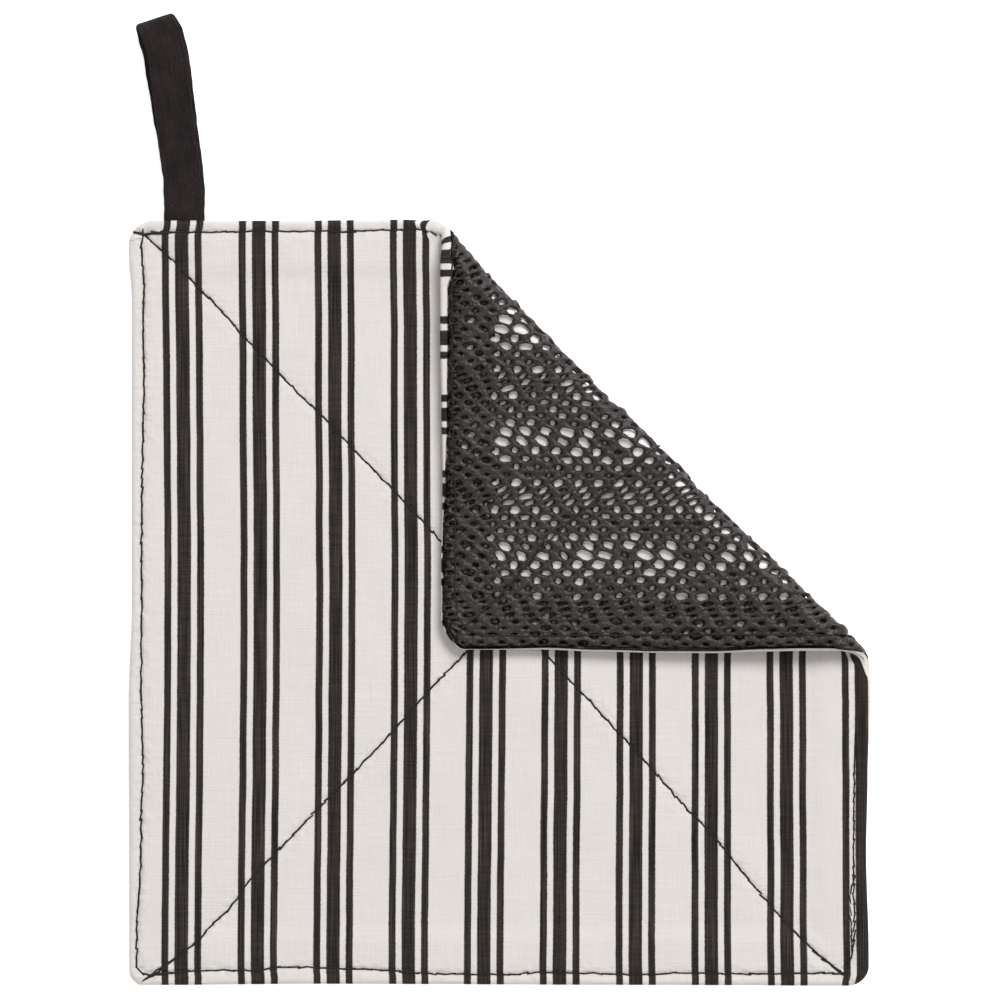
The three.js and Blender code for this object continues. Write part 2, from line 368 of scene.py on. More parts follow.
@dataclass(frozen=True)
class Streaks:
    """Noise drawn out along the cloth: its fineness across and along, its layer, detail and strength."""

    across: float
    along: float
    layer: float
    detail: float
    strength: float = 1.0

    def on(self, board: Board, x: Wire, y: Wire) -> Wire:
        """The noise at a place."""
        stretched = board.vector(x * self.across, y * self.along, self.layer)
        return board.noise(stretched, 1.0, self.detail) * self.strength


@dataclass(frozen=True)
class Spread:
    """Random sizes about a mean, kept between two ends."""

    mean: float
    deviation: float
    least: float
    most: float

    def draw(self, random: np.random.Generator) -> float:
        """The next size."""
        return float(np.clip(random.normal(self.mean, self.deviation), self.least, self.most))


def material_board(name: str) -> tuple[bpy.types.Material, Board]:
    """Makes an empty material.

    Args:
        name: The material's name.

    Returns:
        The material and the board of its nodes.
    """
    material = bpy.data.materials.new(name)
    material.use_nodes = True
    return material, Board(material.node_tree)


def geometry_board(name: str, sizes: dict[str, float]) -> tuple[Board, Wire]:
    """Makes an empty Geometry Nodes tree.

    Args:
        name: The tree's name.
        sizes: Its named inputs and their usual values.

    Returns:
        The board and the output of its first node, which is the geometry.
    """
    tree = bpy.data.node_groups.new(name, "GeometryNodeTree")
    tree.interface.new_socket("Geometry", in_out="INPUT", socket_type="NodeSocketGeometry")
    for key, value in sizes.items():
        tree.interface.new_socket(key, in_out="INPUT", socket_type="NodeSocketFloat").default_value = value
    tree.interface.new_socket("Geometry", in_out="OUTPUT", socket_type="NodeSocketGeometry")
    board = Board(tree)
    return board, board.node("NodeGroupInput", out="Geometry")


def smooth_object(name: str, mesh: bpy.types.Mesh) -> bpy.types.Object:
    """Puts a mesh with smooth faces into the scene.

    Args:
        name: Name of the mesh and its object.
        mesh: The mesh.

    Returns:
        The object.
    """
    mesh.name = name
    mesh.polygons.foreach_set("use_smooth", [True] * len(mesh.polygons))
    mesh.update()
    return linked(name, mesh)


def linked(name: str, data: Any) -> bpy.types.Object:
    """Puts a mesh, light or camera into the scene.

    Args:
        name: The object's name.
        data: The mesh, light or camera.

    Returns:
        The object.
    """
    made = bpy.data.objects.new(name, data)
    bpy.context.scene.collection.objects.link(made)
    return made


def grown(
    start: bpy.types.Object, tree: bpy.types.NodeTree, sizes: dict[str, float], name: str,
) -> bpy.types.Object:
    """Runs a Geometry Nodes tree on an object and keeps the result as a plain mesh.

    Args:
        start: The object that the tree starts from. It is removed.
        tree: The tree.
        sizes: Values of its named inputs.
        name: Name of the new object.

    Returns:
        The new object.
    """
    modifier = start.modifiers.new("grow", "NODES")
    modifier.node_group = tree
    for item in tree.interface.items_tree:
        if item.in_out == "INPUT" and item.name in sizes:
            modifier[item.identifier] = sizes[item.name]
    evaluated = start.evaluated_get(bpy.context.evaluated_depsgraph_get())
    mesh = bpy.data.meshes.new_from_object(evaluated)
    bpy.data.objects.remove(start)
    return smooth_object(name, mesh)


def keep_values(mesh: bpy.types.Mesh, domain: str, values: dict[str, np.ndarray]) -> None:
    """Keeps values on the points or faces of a mesh.

    Args:
        mesh: The mesh.
        domain: POINT or FACE.
        values: One array for each attribute, of one or three numbers for each point or face.
    """
    for name, numbers in values.items():
        kind, key = ("FLOAT", "value") if numbers.ndim == 1 else ("FLOAT_VECTOR", "vector")
        mesh.attributes.new(name, kind, domain).data.foreach_set(key, numbers.astype("f").ravel())


def mesh_object(
    name: str, points: np.ndarray, faces: list, edges: list | None = None, **values: np.ndarray,
) -> bpy.types.Object:
    """Makes a smooth mesh object.

    Args:
        name: The object's name.
        points: Places of its points.
        faces: Rings of point numbers.
        edges: Loose edges, where it has no faces.
        values: Values of the points, one array for each attribute.

    Returns:
        The object, linked to the scene.
    """
    mesh = bpy.data.meshes.new(name)
    mesh.from_pydata(points.tolist(), edges or [], faces)
    keep_values(mesh, "POINT", values)
    return smooth_object(name, mesh)


def dress(piece: bpy.types.Object, material: bpy.types.Material) -> None:
    """Gives a piece its material and body, and logs its count of faces.

    Args:
        piece: The piece.
        material: Its material.
    """
    piece.data.materials.clear()
    piece.data.materials.append(material)
    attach(piece, "root")
    LOG.info("%s: %d faces", piece.name, len(piece.data.polygons))


def eased(at: np.ndarray, rows: Rows) -> np.ndarray:
    """Follows a short table with soft turns.

    Args:
        at: Where it is read.
        rows: Places and values, in order.

    Returns:
        The values.
    """
    places, values = np.array(rows).T
    at = np.clip(at, places[0], places[-1])
    cell = np.clip(np.searchsorted(places, at) - 1, 0, len(places) - 2)
    share = (at - places[cell]) / (places[cell + 1] - places[cell])
    share = share * share * (3 - 2 * share)
    return values[cell] + (values[cell + 1] - values[cell]) * share


def waves(x: np.ndarray, y: np.ndarray, length: float, seed: int, count: int = 7) -> np.ndarray:
    """Soft random relief, the sum of a few waves.

    Args:
        x: Places across.
        y: Places along.
        length: Mean wave length.
        seed: Fixed seed.
        count: How many waves there are.

    Returns:
        Heights, mostly within 1 of 0.
    """
    random = np.random.default_rng(seed)
    total = np.zeros(np.shape(x))
    for _ in range(count):
        angle, phase = random.uniform(0, 2 * np.pi, 2)
        reach = 2 * np.pi / (length * random.uniform(0.7, 1.5))
        total += np.sin(reach * (x * np.cos(angle) + y * np.sin(angle)) + phase)
    return total / math.sqrt(count)


def smooth_path(waypoints: Rows, step: float, samples: int = 60) -> np.ndarray:
    """Draws a smooth line through waypoints.

    Args:
        waypoints: Rows of places.
        step: Distance between the points of the line.
        samples: How many points for each waypoint its length is measured from.

    Returns:
        Rows of places, evenly spaced.
    """
    rows = np.array(waypoints, float)
    knots = np.concatenate([[0], np.cumsum(np.linalg.norm(np.diff(rows, axis=0), axis=1) ** 0.5)])
    slopes = np.gradient(rows, knots, axis=0)
    fine = np.linspace(0, knots[-1], samples * len(rows))
    cell = np.clip(np.searchsorted(knots, fine, side="right") - 1, 0, len(rows) - 2)
    span = (knots[cell + 1] - knots[cell])[:, None]
    t = (fine - knots[cell])[:, None] / span
    line = (
        rows[cell] * (1 + 2 * t) * (1 - t) ** 2 + slopes[cell] * span * t * (1 - t) ** 2
        + rows[cell + 1] * t * t * (3 - 2 * t) + slopes[cell + 1] * span * t * t * (t - 1)
    )
    lengths = np.concatenate([[0], np.cumsum(np.linalg.norm(np.diff(line, axis=0), axis=1))])
    even = np.linspace(0, lengths[-1], max(2, round(lengths[-1] / step) + 1))
    return np.stack([np.interp(even, lengths, axis) for axis in line.T], -1)


def signed_distance(points: np.ndarray, line: np.ndarray) -> np.ndarray:
    """Distance of points from a line, less than 0 on its right.

    Args:
        points: Rows of places.
        line: Rows of places along the line.

    Returns:
        The distances.
    """
    best = np.full(len(points), np.inf)
    signed = best.copy()
    for start, end in zip(line[:-1], line[1:]):
        run = end - start
        away = points - start
        share = np.clip(away @ run / (run @ run), 0, 1)
        distance = np.linalg.norm(away - share[:, None] * run, axis=1)
        side = np.where(run[0] * away[:, 1] - run[1] * away[:, 0] < 0, -1.0, 1.0)
        nearer = distance < best
        best = np.where(nearer, distance, best)
        signed = np.where(nearer, distance * side, signed)
    return signed


@dataclass(frozen=True)
class Edge:
    """One side of the flat square.

    Its axis, sign and distance from the middle, how far it strays outwards at places along it, and how wide
    its turned edge shows on the back there.
    """

    axis: int
    sign: int
    half: float
    stray: Rows
    lip: Rows

    def inset(self, x: np.ndarray, y: np.ndarray) -> np.ndarray:
        """Distance inwards from the straight side."""
        return self.half - self.sign * (x, y)[self.axis]

    def along(self, x: np.ndarray, y: np.ndarray) -> np.ndarray:
        """Place along the side."""
        return (y, x)[self.axis]


@dataclass(frozen=True)
class Corner:
    """One corner of the flat square: its signs, the lengths it takes of both sides, and its sharpness."""

    across: int
    along: int
    legs: tuple[float, float]
    bend: float


@dataclass(frozen=True)
class FlatPattern:
    """Outline and thicknesses of the flat square."""

    half_width: float = 100.0
    half_length: float = 103.8
    foot_stray: float = 0.3
    net: float = 1.5
    gap: float = 0.3
    cloth: float = 1.0
    band_flat: float = 12.0
    band_end: float = 16.0
    band_rise: float = 0.6
    fade: float = 30.0
    loop_at: float = -85.6
    bared: Rows = ((-19, 0.0), (-13.5, 1.0), (-8, 1.0), (0, 0.0))
    bared_in: float = 6.0
    lip_blend: float = 0.5
    edges: tuple[Edge, ...] = (
        Edge(
            1, 1, half_length,
            stray=((-60, -0.2), (-24, 0.1), (-19, -0.3), (-15, -1.5), (-11, -1.2), (-5, -0.4), (15, -0.35),
                   (36, -0.7), (55, -0.95), (82, -0.65)),
            lip=((-60, 1.2), (-18, 2.0), (-13, 1.3), (-8, 2.3), (-3, 3.7), (2, 2.0), (15, 2.0), (36, 1.5),
                 (55, 0.7), (68, 0.15)),
        ),
        Edge(
            0, 1, half_width,
            stray=((-95, 0.2), (-68, -0.5), (-47, -0.1), (-24, 0.7), (-14, 0.35), (6, 0.35), (16, 0.55),
                   (30, 1.0), (44, 0.95), (60, 0.65), (76, 0.1), (85, 0.1)),
            lip=((-24, 1.2), (-16, 0.25), (-8, 0.2), (-2, 0.7), (70, 0.65), (92, 0.2)),
        ),
        Edge(
            1, -1, half_length,
            stray=((-90, 0.1), (-50, -0.2), (40, 0.1), (92, 0.3)),
            lip=((-90, 1.2), (92, 1.2)),
        ),
        Edge(
            0, -1, half_width,
            stray=((-90, 0.6), (-28, 0.7), (0, -0.1), (82, -0.1), (94, 0.7)),
            lip=((-90, 1.2), (90, 1.2)),
        ),
    )
    corners: tuple[Corner, ...] = (
        Corner(-1, 1, (6.0, 6.5), 0.5),
        Corner(1, 1, (9.0, 6.6), 0.42),
        Corner(1, -1, (5.5, 5.0), 0.5),
        Corner(-1, -1, (3.0, 3.5), 0.4),
    )

    @property
    def under(self) -> float:
        """Height of the cotton's inner face."""
        return self.net + self.gap

    @property
    def top(self) -> float:
        """Height of the cotton's outer face."""
        return self.under + self.cloth

    def depth(self, x: np.ndarray, y: np.ndarray) -> np.ndarray:
        """Distance in from the nearest straight side."""
        return np.minimum(self.half_width - np.abs(x), self.half_length - np.abs(y))

    def band(self, x: np.ndarray, y: np.ndarray) -> np.ndarray:
        """How much of the seam allowance lies at a place, from 0 to 1."""
        return np.clip((self.band_end - self.depth(x, y)) / (self.band_end - self.band_flat), 0, 1)

    def lip(self, x: np.ndarray, y: np.ndarray) -> np.ndarray:
        """Width of the turned edge near a place.

        Args:
            x: Places across.
            y: Places along.

        Returns:
            The widths.
        """
        weights = [1 / (np.abs(edge.inset(x, y)) + self.lip_blend) ** 2 for edge in self.edges]
        widths = [eased(edge.along(x, y), edge.lip) for edge in self.edges]
        return sum(w * v for w, v in zip(weights, widths)) / sum(weights)

    def bare(self, x: np.ndarray, y: np.ndarray) -> np.ndarray:
        """How far the net comes out over the rim, from 0 to 1: only where the fold meets the right side."""
        return eased(y, self.bared) * np.clip(1 - (self.half_width - x) / self.bared_in, 0, 1)

    def drawn_in(self, x: np.ndarray, y: np.ndarray, inset: np.ndarray) -> tuple[np.ndarray, np.ndarray]:
        """Moves points of the straight square's rim inwards, round its corners as well.

        Args:
            x: Places across, on the rim.
            y: Places along, on the rim.
            inset: How far each goes in.

        Returns:
            The new places.
        """
        half = np.array([self.half_width, self.half_length])
        point = np.stack([x, y], -1)
        sign = np.where(point < 0, -1.0, 1.0)
        away = half - np.abs(point)
        legs = np.ones_like(point)
        for corner in self.corners:
            here = (sign[:, 0] == corner.across) & (sign[:, 1] == corner.along)
            legs[here] = corner.legs
        share = np.minimum(away / legs, 1.0)
        step = inset[:, None] / legs
        moved = np.where(share < 1, (step + (1 - step) * share) * legs, away)
        moved = np.where(away <= 1e-6, inset[:, None], moved)
        return tuple((sign * (half - moved)).T)

    def shrunk(self, x: np.ndarray, y: np.ndarray, inset: np.ndarray) -> tuple[np.ndarray, np.ndarray]:
        """Draws the straight square in at its sides, less and less towards its middle.

        Args:
            x: Places across.
            y: Places along.
            inset: How far the sides go in.

        Returns:
            The new places.
        """
        fade_x = np.clip(1 - (self.half_width - np.abs(x)) / self.band_end, 0, 1)
        fade_y = np.clip(1 - (self.half_length - np.abs(y)) / self.band_end, 0, 1)
        return x - np.sign(x) * inset * fade_x, y - np.sign(y) * inset * fade_y

    def place(self, x: np.ndarray, y: np.ndarray) -> tuple[np.ndarray, np.ndarray]:
        """Takes points of the straight square to the real outline, with its strays and rounded corners.

        Args:
            x: Places across the straight square.
            y: Places along it.

        Returns:
            The places on the real square.
        """
        new = [np.array(x, float), np.array(y, float)]
        for corner in self.corners:
            a = (self.half_width - corner.across * new[0]) / corner.legs[0]
            b = (self.half_length - corner.along * new[1]) / corner.legs[1]
            inside = (a < 1) & (b < 1)
            a, b = a[inside], b[inside]
            low = np.minimum(a, b)
            turn = (1 - (a - b) / np.maximum(1 - low, 1e-9)) / 2
            near = low + (1 - low) * (1 - corner.bend)
            blend = [(1 - turn) ** 3, 3 * turn * (1 - turn) ** 2, 3 * turn ** 2 * (1 - turn), turn ** 3]
            new_a = blend[0] + blend[1] * near + (blend[2] + blend[3]) * low
            new_b = (blend[0] + blend[1]) * low + blend[2] * near + blend[3]
            new[0][inside] = corner.across * (self.half_width - new_a * corner.legs[0])
            new[1][inside] = corner.along * (self.half_length - new_b * corner.legs[1])
        moved = [new[0].copy(), new[1].copy()]
        for edge in self.edges:
            share = np.clip(1 - edge.inset(*new) / self.fade, 0, 1) ** 2
            moved[edge.axis] += edge.sign * share * eased(edge.along(*new), edge.stray)
        return moved[0], moved[1]


@dataclass(frozen=True)
class CornerFold:
    """The fold at 45 degrees across the corner, and where the whole lies in the row frame."""

    pattern: FlatPattern
    origin: Vector
    mirror: float = 61.7
    neutral: float = 1.0
    radius: float = 3.6
    lean: float = 3.3
    straight: float = 34.0
    ease: float = 26.0
    tip: float = 60.0
    swell: float = 0.8
    swell_end: float = 16.0
    bulge: float = 1.25
    wander: Rows = (
        (-80, -0.2), (-74, 0.1), (-57, 0.3), (-45, 0.5), (-36, 0.1), (-19, -0.35), (-3, 0.3), (5, 0.3),
        (20, -0.4), (38, -0.2), (60, 0.25), (68, 0.0),
    )
    probe: float = 0.05

    @property
    def reach(self) -> float:
        """Sum of the places across and along that a point of the mirror line has."""
        return self.mirror * math.sqrt(2)

    @property
    def sections(self) -> Rows:
        """Length and turn of each stretch of the section: bend, straight flap, easing back, and tip."""
        turn, back = math.radians(180 + self.lean), -math.radians(self.lean)
        return ((self.radius * turn, turn), (self.straight, 0.0), (self.ease, back), (self.tip, 0.0))

    @property
    def start(self) -> float:
        """Where the bend starts, from the middle of the square."""
        length, turn = self.sections[0]
        return self.mirror - (length + self.radius * math.sin(turn)) / 2

    def across(self, x: np.ndarray, y: np.ndarray) -> np.ndarray:
        """Distance of flat places from the square's middle, square to the fold."""
        return (x + y) * math.sqrt(0.5)

    def turned(self, distance: np.ndarray) -> np.ndarray:
        """How far round the bend a place is, from 0 to 1."""
        return np.clip((distance - self.start) / self.sections[0][0], 0, 1)

    def section(self, distance: np.ndarray) -> tuple[np.ndarray, np.ndarray, np.ndarray]:
        """Follows the folded section.

        Args:
            distance: How far along the flat square, across the fold.

        Returns:
            Place, height and heading.
        """
        place = np.minimum(distance, self.start)
        height = np.full(distance.shape, self.neutral)
        heading = np.zeros(distance.shape)
        left = distance - self.start
        for length, turn in self.sections:
            run = np.clip(left, 0, length)
            bend = turn / length
            after = heading + bend * run
            if turn == 0:
                place = place + run * np.cos(heading)
                height = height + run * np.sin(heading)
            else:
                place = place + (np.sin(after) - np.sin(heading)) / bend
                height = height + (np.cos(heading) - np.cos(after)) / bend
            heading = after
            left = left - length
        return place, height, heading

    def bend(self, flat: np.ndarray) -> np.ndarray:
        """Takes points of the flat square to the row frame.

        Args:
            flat: Rows of places across and along and of heights, in millimetres.

        Returns:
            Rows of places in metres.
        """
        x, y, level = flat.T
        distance = self.across(x, y)
        along = (y - x) * math.sqrt(0.5)
        place, height, heading = self.section(distance)
        crest = np.sin(np.pi * self.turned(distance))
        edge = np.clip(1 - self.pattern.depth(x, y) / self.swell_end, 0, 1)
        top_edge = np.clip(1 - (self.pattern.half_length - y) / self.swell_end, 0, 1)
        above = level - self.neutral - self.swell * crest ** 2 * edge
        reach = place + self.bulge * crest ** 4 * top_edge + eased(along, self.wander) * crest
        reach -= above * np.sin(heading)
        level = height + above * np.cos(heading)
        bent = [(reach - along) * math.sqrt(0.5), (reach + along) * math.sqrt(0.5), level]
        return np.stack(bent, -1) * MM + np.array(self.origin)

    def upward(self, flat: np.ndarray) -> np.ndarray:
        """Directions in the row frame that lead up from points of the flat square."""
        run = self.bend(flat + np.array([0, 0, self.probe])) - self.bend(flat)
        return run / np.linalg.norm(run, axis=1, keepdims=True)


@dataclass(frozen=True)
class SeamLines:
    """Where the stitching runs on the flat square, and how it draws the cloth in."""

    step: float = 1.0
    coarse: int = 4
    above_cotton: float = 0.05
    inside_net: float = 0.42
    furrow_half: float = 2.0
    furrow_fall: float = 1.5
    pucker_half: float = 4.0
    pucker: Grain = Grain(0.42, 1, 0.9)
    tight_half: float = 0.8
    tight: float = 0.2
    left: Rows = (
        (-88.0, -100.4), (-91.9, -100.7), (-95.2, -101.0), (-97.3, -100.3), (-98.3, -99.2), (-98.5, -94.4),
        (-98.4, -86), (-97.7, -77), (-97.4, -65), (-97.2, -56), (-96.8, -44.5), (-97.3, -24), (-97.1, 0),
        (-97.2, 13), (-96.9, 41), (-96.5, 60), (-96.8, 77), (-96.5, 87), (-97.1, 94.5), (-96.9, 100.2),
    )
    rim: Rows = (
        (-97.7, 100.3), (-95.4, 100.1), (-91.0, 100.4), (-80, 100.4), (-63, 100.7), (-54, 100.6),
        (-48, 100.7), (-42, 100.5), (-35, 100.9), (-27, 101.1), (-20.5, 101.4), (-17, 101.2), (-13, 100.6),
        (-5, 100.2), (30, 100.1), (55, 99.5), (75, 99.3), (87, 99.2), (92.6, 97.9), (95.6, 94.4), (96.3, 88),
        (96.1, 60), (96.1, 0), (96.8, -20), (96.2, -47), (96.0, -75.5), (96.1, -79), (96.0, -93),
        (95.7, -95.4), (94.9, -98), (93.2, -100.6), (88, -100.6), (71, -100.8), (49, -100.6), (39, -101.0),
        (22, -100.6), (8, -100.5),
        (2.5, -101.0), (-2.4, -101.0), (-19.5, -100.7), (-31.7, -99.8), (-39, -99.5), (-54, -99.0),
        (-58.5, -99.0), (-66, -99.8), (-80.5, -99.9), (-88, -100.4), (-93.5, -101.2),
    )
    falling: Rows = (
        (-95.5, 99.0), (-91.9, 95.6), (-88.1, 92.2), (-84.1, 87.8), (-77.3, 80.9), (-70.3, 73.1),
        (-63.3, 65.8), (-55.2, 57.2), (-47.4, 49.7), (-36.9, 38.6), (-32.6, 34.3), (-16.2, 16.9),
        (13.4, -15.1), (26.1, -28.7), (38.1, -41.7), (48.9, -53.9), (59.2, -64.8), (66.3, -73.7),
        (76.0, -85.1), (83.1, -92.5), (87.0, -95.9), (93.4, -100.9),
    )
    rising: Rows = (
        (-95.9, -102.2), (-92.2, -99.4), (-88.1, -96.6), (-83.0, -92.8), (-79.2, -88.8), (-72.2, -81.6),
        (-67.8, -75.4), (-55.8, -62.9), (-51.7, -58.5), (-34.8, -41.2), (-16.9, -21.6), (-9.2, -13.5),
        (30, 27.5), (71.7, 75.0), (83.9, 85.8), (94.9, 98.0),
    )
    sewn_twice: tuple[Rows, ...] = (
        ((-97.7, 100.0), (-94.5, 99.85), (-90.2, 100.2)),
        ((-95.8, -101.9), (-92.5, -100.1), (-89.4, -97.7)),
        ((86.0, -95.4), (90.2, -98.6), (93.6, -101.2)),
        ((96.0, -75.5), (95.2, -78.5), (95.3, -86), (95.5, -94.5)),
    )
    girths: tuple[float, ...] = (1.0, 0.85, 1.0, 1.0)
    girths_twice: tuple[float, ...] = (1.3, 1.0, 1.15, 0.9)

    def lines(self) -> list[np.ndarray]:
        """The main lines: up the left side, round the rest of the rim, and twice from corner to corner."""
        return [smooth_path(row, self.step) for row in (self.left, self.rim, self.falling, self.rising)]

    def doubled(self) -> list[np.ndarray]:
        """The short lines that are sewn a second time, at three corners and on the right side."""
        return [smooth_path(row, self.step) for row in self.sewn_twice]

    def away(self, x: np.ndarray, y: np.ndarray) -> np.ndarray:
        """Signed distances from the stitching.

        Args:
            x: Places across the flat square.
            y: Places along it.

        Returns:
            For each place its distances from the rim's line and from the two that cross.
        """
        points = np.stack([x, y], -1)
        lines = (line[::self.coarse] for line in self.lines())
        left, rim, falling, rising = (signed_distance(points, line) for line in lines)
        return np.stack([np.where(np.abs(left) < np.abs(rim), left, rim), falling, rising], -1)

    def furrow(self, away: np.ndarray) -> np.ndarray:
        """How deep a place lies in the furrows along the lines, from 0 to 1."""
        nearest = np.abs(away).min(-1)
        return np.clip(1 - nearest / self.furrow_half, 0, 1) ** self.furrow_fall

    def relief(self, board: Board, place: Wire) -> Wire:
        """Fine relief of the cloth beside the stitching, which puckers it.

        Args:
            board: The material's nodes.
            place: Place on the flat square.

        Returns:
            The height in millimetres.
        """
        pucker = self.pucker.on(board, place)
        distances = [abs(away) for away in board.axes(board.read(SEAMS))]
        heights = [
            away.ramp(self.pucker_half, 0.0) * pucker - away.ramp(self.tight_half, 0.0) * self.tight
            for away in distances
        ]
        return heights[0] + heights[1] + heights[2]


@dataclass(frozen=True)
class PrintDrift:
    """How the stripes stray from straight lines, as in any printed cloth that is sewn by hand.

    Pulls are in millimetres to the right. A pair that ends in over names the places between which a pull
    sets in.
    """

    flap_blend: float = 6.0
    flap_pull: float = 1.7
    flap_over: tuple[float, float] = (19.875, -1.375)
    wave: float = 0.42
    wave_from: float = 5.0
    wave_turn: float = 0.026
    slant: float = 0.0026
    wander: Grain = Grain(0.05, 2, 0.45)
    fan: float = 0.0165
    fan_from: float = -55.0
    fan_over: tuple[float, float] = (0.0, -15.0)
    fan_width: float = 100.0
    side_pull: float = 0.2
    side_over: tuple[float, float] = (-87.0, -65.0)
    upper_pull: float = 0.3
    upper_over: tuple[float, float] = (50.0, 75.0)
    rim_pull: float = 0.12
    rim_streak: Streaks = Streaks(0.045, 0.02, 0.0, 1, 0.8)
    rim_over: tuple[float, float] = (100.2, 101.4)
    rim_fade: float = 0.55
    rim_fade_over: tuple[float, float] = (0.0, 60.0)
    corner_pulls: tuple[float, float] = (0.5, -0.5)
    corners_over: tuple[Rows, Rows] = (((-75.0, -80.0), (99.5, 102.5)), ((88.0, 93.0), (-101.0, -103.0)))

    def pull(self, board: Board, place: Wire, reach: float) -> Wire:
        """How far the stripes are pulled to the right.

        Args:
            board: The material's nodes.
            place: Place on the flat square.
            reach: Sum of the places across and along, past which the cloth belongs to the flap.

        Returns:
            The pull in millimetres.
        """
        x, y, _ = board.axes(place)
        on_flap = (x + y).ramp(reach, reach + self.flap_blend)
        skewed = on_flap * x.ramp(*self.flap_over) * self.flap_pull
        waved = ((y - self.wave_from) * self.wave_turn).cosine() * self.wave + x * self.slant
        fanned = (x / self.fan_width).most(0.0) * y.ramp(*self.fan_over) * (y - self.fan_from) * self.fan
        aside = x.ramp(*self.side_over) * (y.ramp(*self.upper_over) * self.upper_pull + self.side_pull)
        at_rim = abs(y).ramp(*self.rim_over) * (1.0 - x.ramp(*self.rim_fade_over) * self.rim_fade)
        pulled = aside - fanned + at_rim * (self.rim_streak.on(board, x, y) + self.rim_pull)
        for corner_pull, (across, along) in zip(self.corner_pulls, self.corners_over):
            pulled = pulled + x.ramp(*across) * y.ramp(*along) * corner_pull
        return waved + self.wander.on(board, place) + pulled * (1.0 - on_flap) - skewed


@dataclass(frozen=True)
class StripedCotton:
    """Off-white plain-weave cotton, printed with groups of one thick stripe between two thin ones.

    The stripes run along the cloth. Sizes and places are in millimetres on the flat square.
    """

    ground: tuple[float, float, float] = (0.68, 0.644, 0.616)
    # colour of the unprinted inner face: paler than the ground as the back of the cloth, and made lighter
    # still as painted light on what shows through the net's openings
    inner: tuple[float, float, float] = (0.94, 0.915, 0.90)
    ink: tuple[float, float, float] = (0.026, 0.0205, 0.0178)
    first: float = -85.82
    period: float = 20.41
    thick: float = 1.835
    thin_at: float = 4.39
    thin: float = 0.96
    soft: float = 0.12
    ragged: Grain = Grain(2.6, 2, 0.42)
    thread: float = 0.52
    weave_tone: float = 0.03
    weave_wear: float = 0.3
    slub_tone: float = 0.13
    slub_height: float = 0.12
    slub_wear: tuple[float, float] = (1.6, 1.2)
    slubs: tuple[Streaks, Streaks] = (Streaks(0.1, 2.2, 7.0, 2), Streaks(2.2, 0.1, 1.0, 2))
    wear: Streaks = Streaks(3.1, 0.04, 3.0, 1, 4.2)
    least_wear: float = 0.35
    cloud: Grain = Grain(0.05, 2, 0.05)
    drift: PrintDrift = PrintDrift()
    rough: float = 0.88
    shine: float = 0.2

    def stripes(self, board: Board, place: Wire, reach: float) -> Wire:
        """Where the print is.

        Args:
            board: The material's nodes.
            place: Place on the flat square.
            reach: Sum of the places across and along, past which the cloth belongs to the flap.

        Returns:
            1 in the print and 0 beside it.
        """
        across = board.axes(place)[0] - self.drift.pull(board, place, reach) - self.first
        cell = abs(across - (across / self.period).combined("ROUND") * self.period)
        ragged = self.ragged.on(board, place)
        thick = cell.below(self.thick + ragged, self.soft)
        return thick.most(abs(cell - self.thin_at).below(self.thin + ragged, self.soft))

    def material(self, seams: SeamLines, reach: float) -> bpy.types.Material:
        """Builds the cloth's material.

        Args:
            seams: The lines of stitching that pucker the cloth.
            reach: Sum of the places across and along, past which the cloth belongs to the flap.

        Returns:
            The material.
        """
        material, board = material_board("striped_cotton")
        place = board.read(FLAT)
        x, y, inner = board.axes(place)
        weave = (x * (FULL_TURN / self.thread)).sine() * (y * (FULL_TURN / self.thread)).sine()
        weft_slub, warp_slub = (slub.on(board, x, y) for slub in self.slubs)
        slubs = weft_slub + warp_slub
        tone = weave * self.weave_tone + slubs * self.slub_tone + self.cloud.on(board, place) + 1.0
        worn = weft_slub * self.slub_wear[0] + warp_slub * self.slub_wear[1] + weave * self.weave_wear
        worn = (worn + self.wear.on(board, x, y) + 1.0).most(self.least_wear)
        printed = self.stripes(board, place, reach)
        colour = board.mixed(printed, board.shade(self.ground, tone), board.shade(self.ink, worn))
        # the inner face gets its own paler colour, partly painted light for the net's openings
        colour = board.mixed(inner.clamped(), colour, board.shade(self.inner, tone))
        relief = weave * self.weave_tone + slubs * self.slub_height + seams.relief(board, place)
        board.surface(colour, self.rough, relief, 1.0, Specular_IOR_Level=self.shine)
        return material


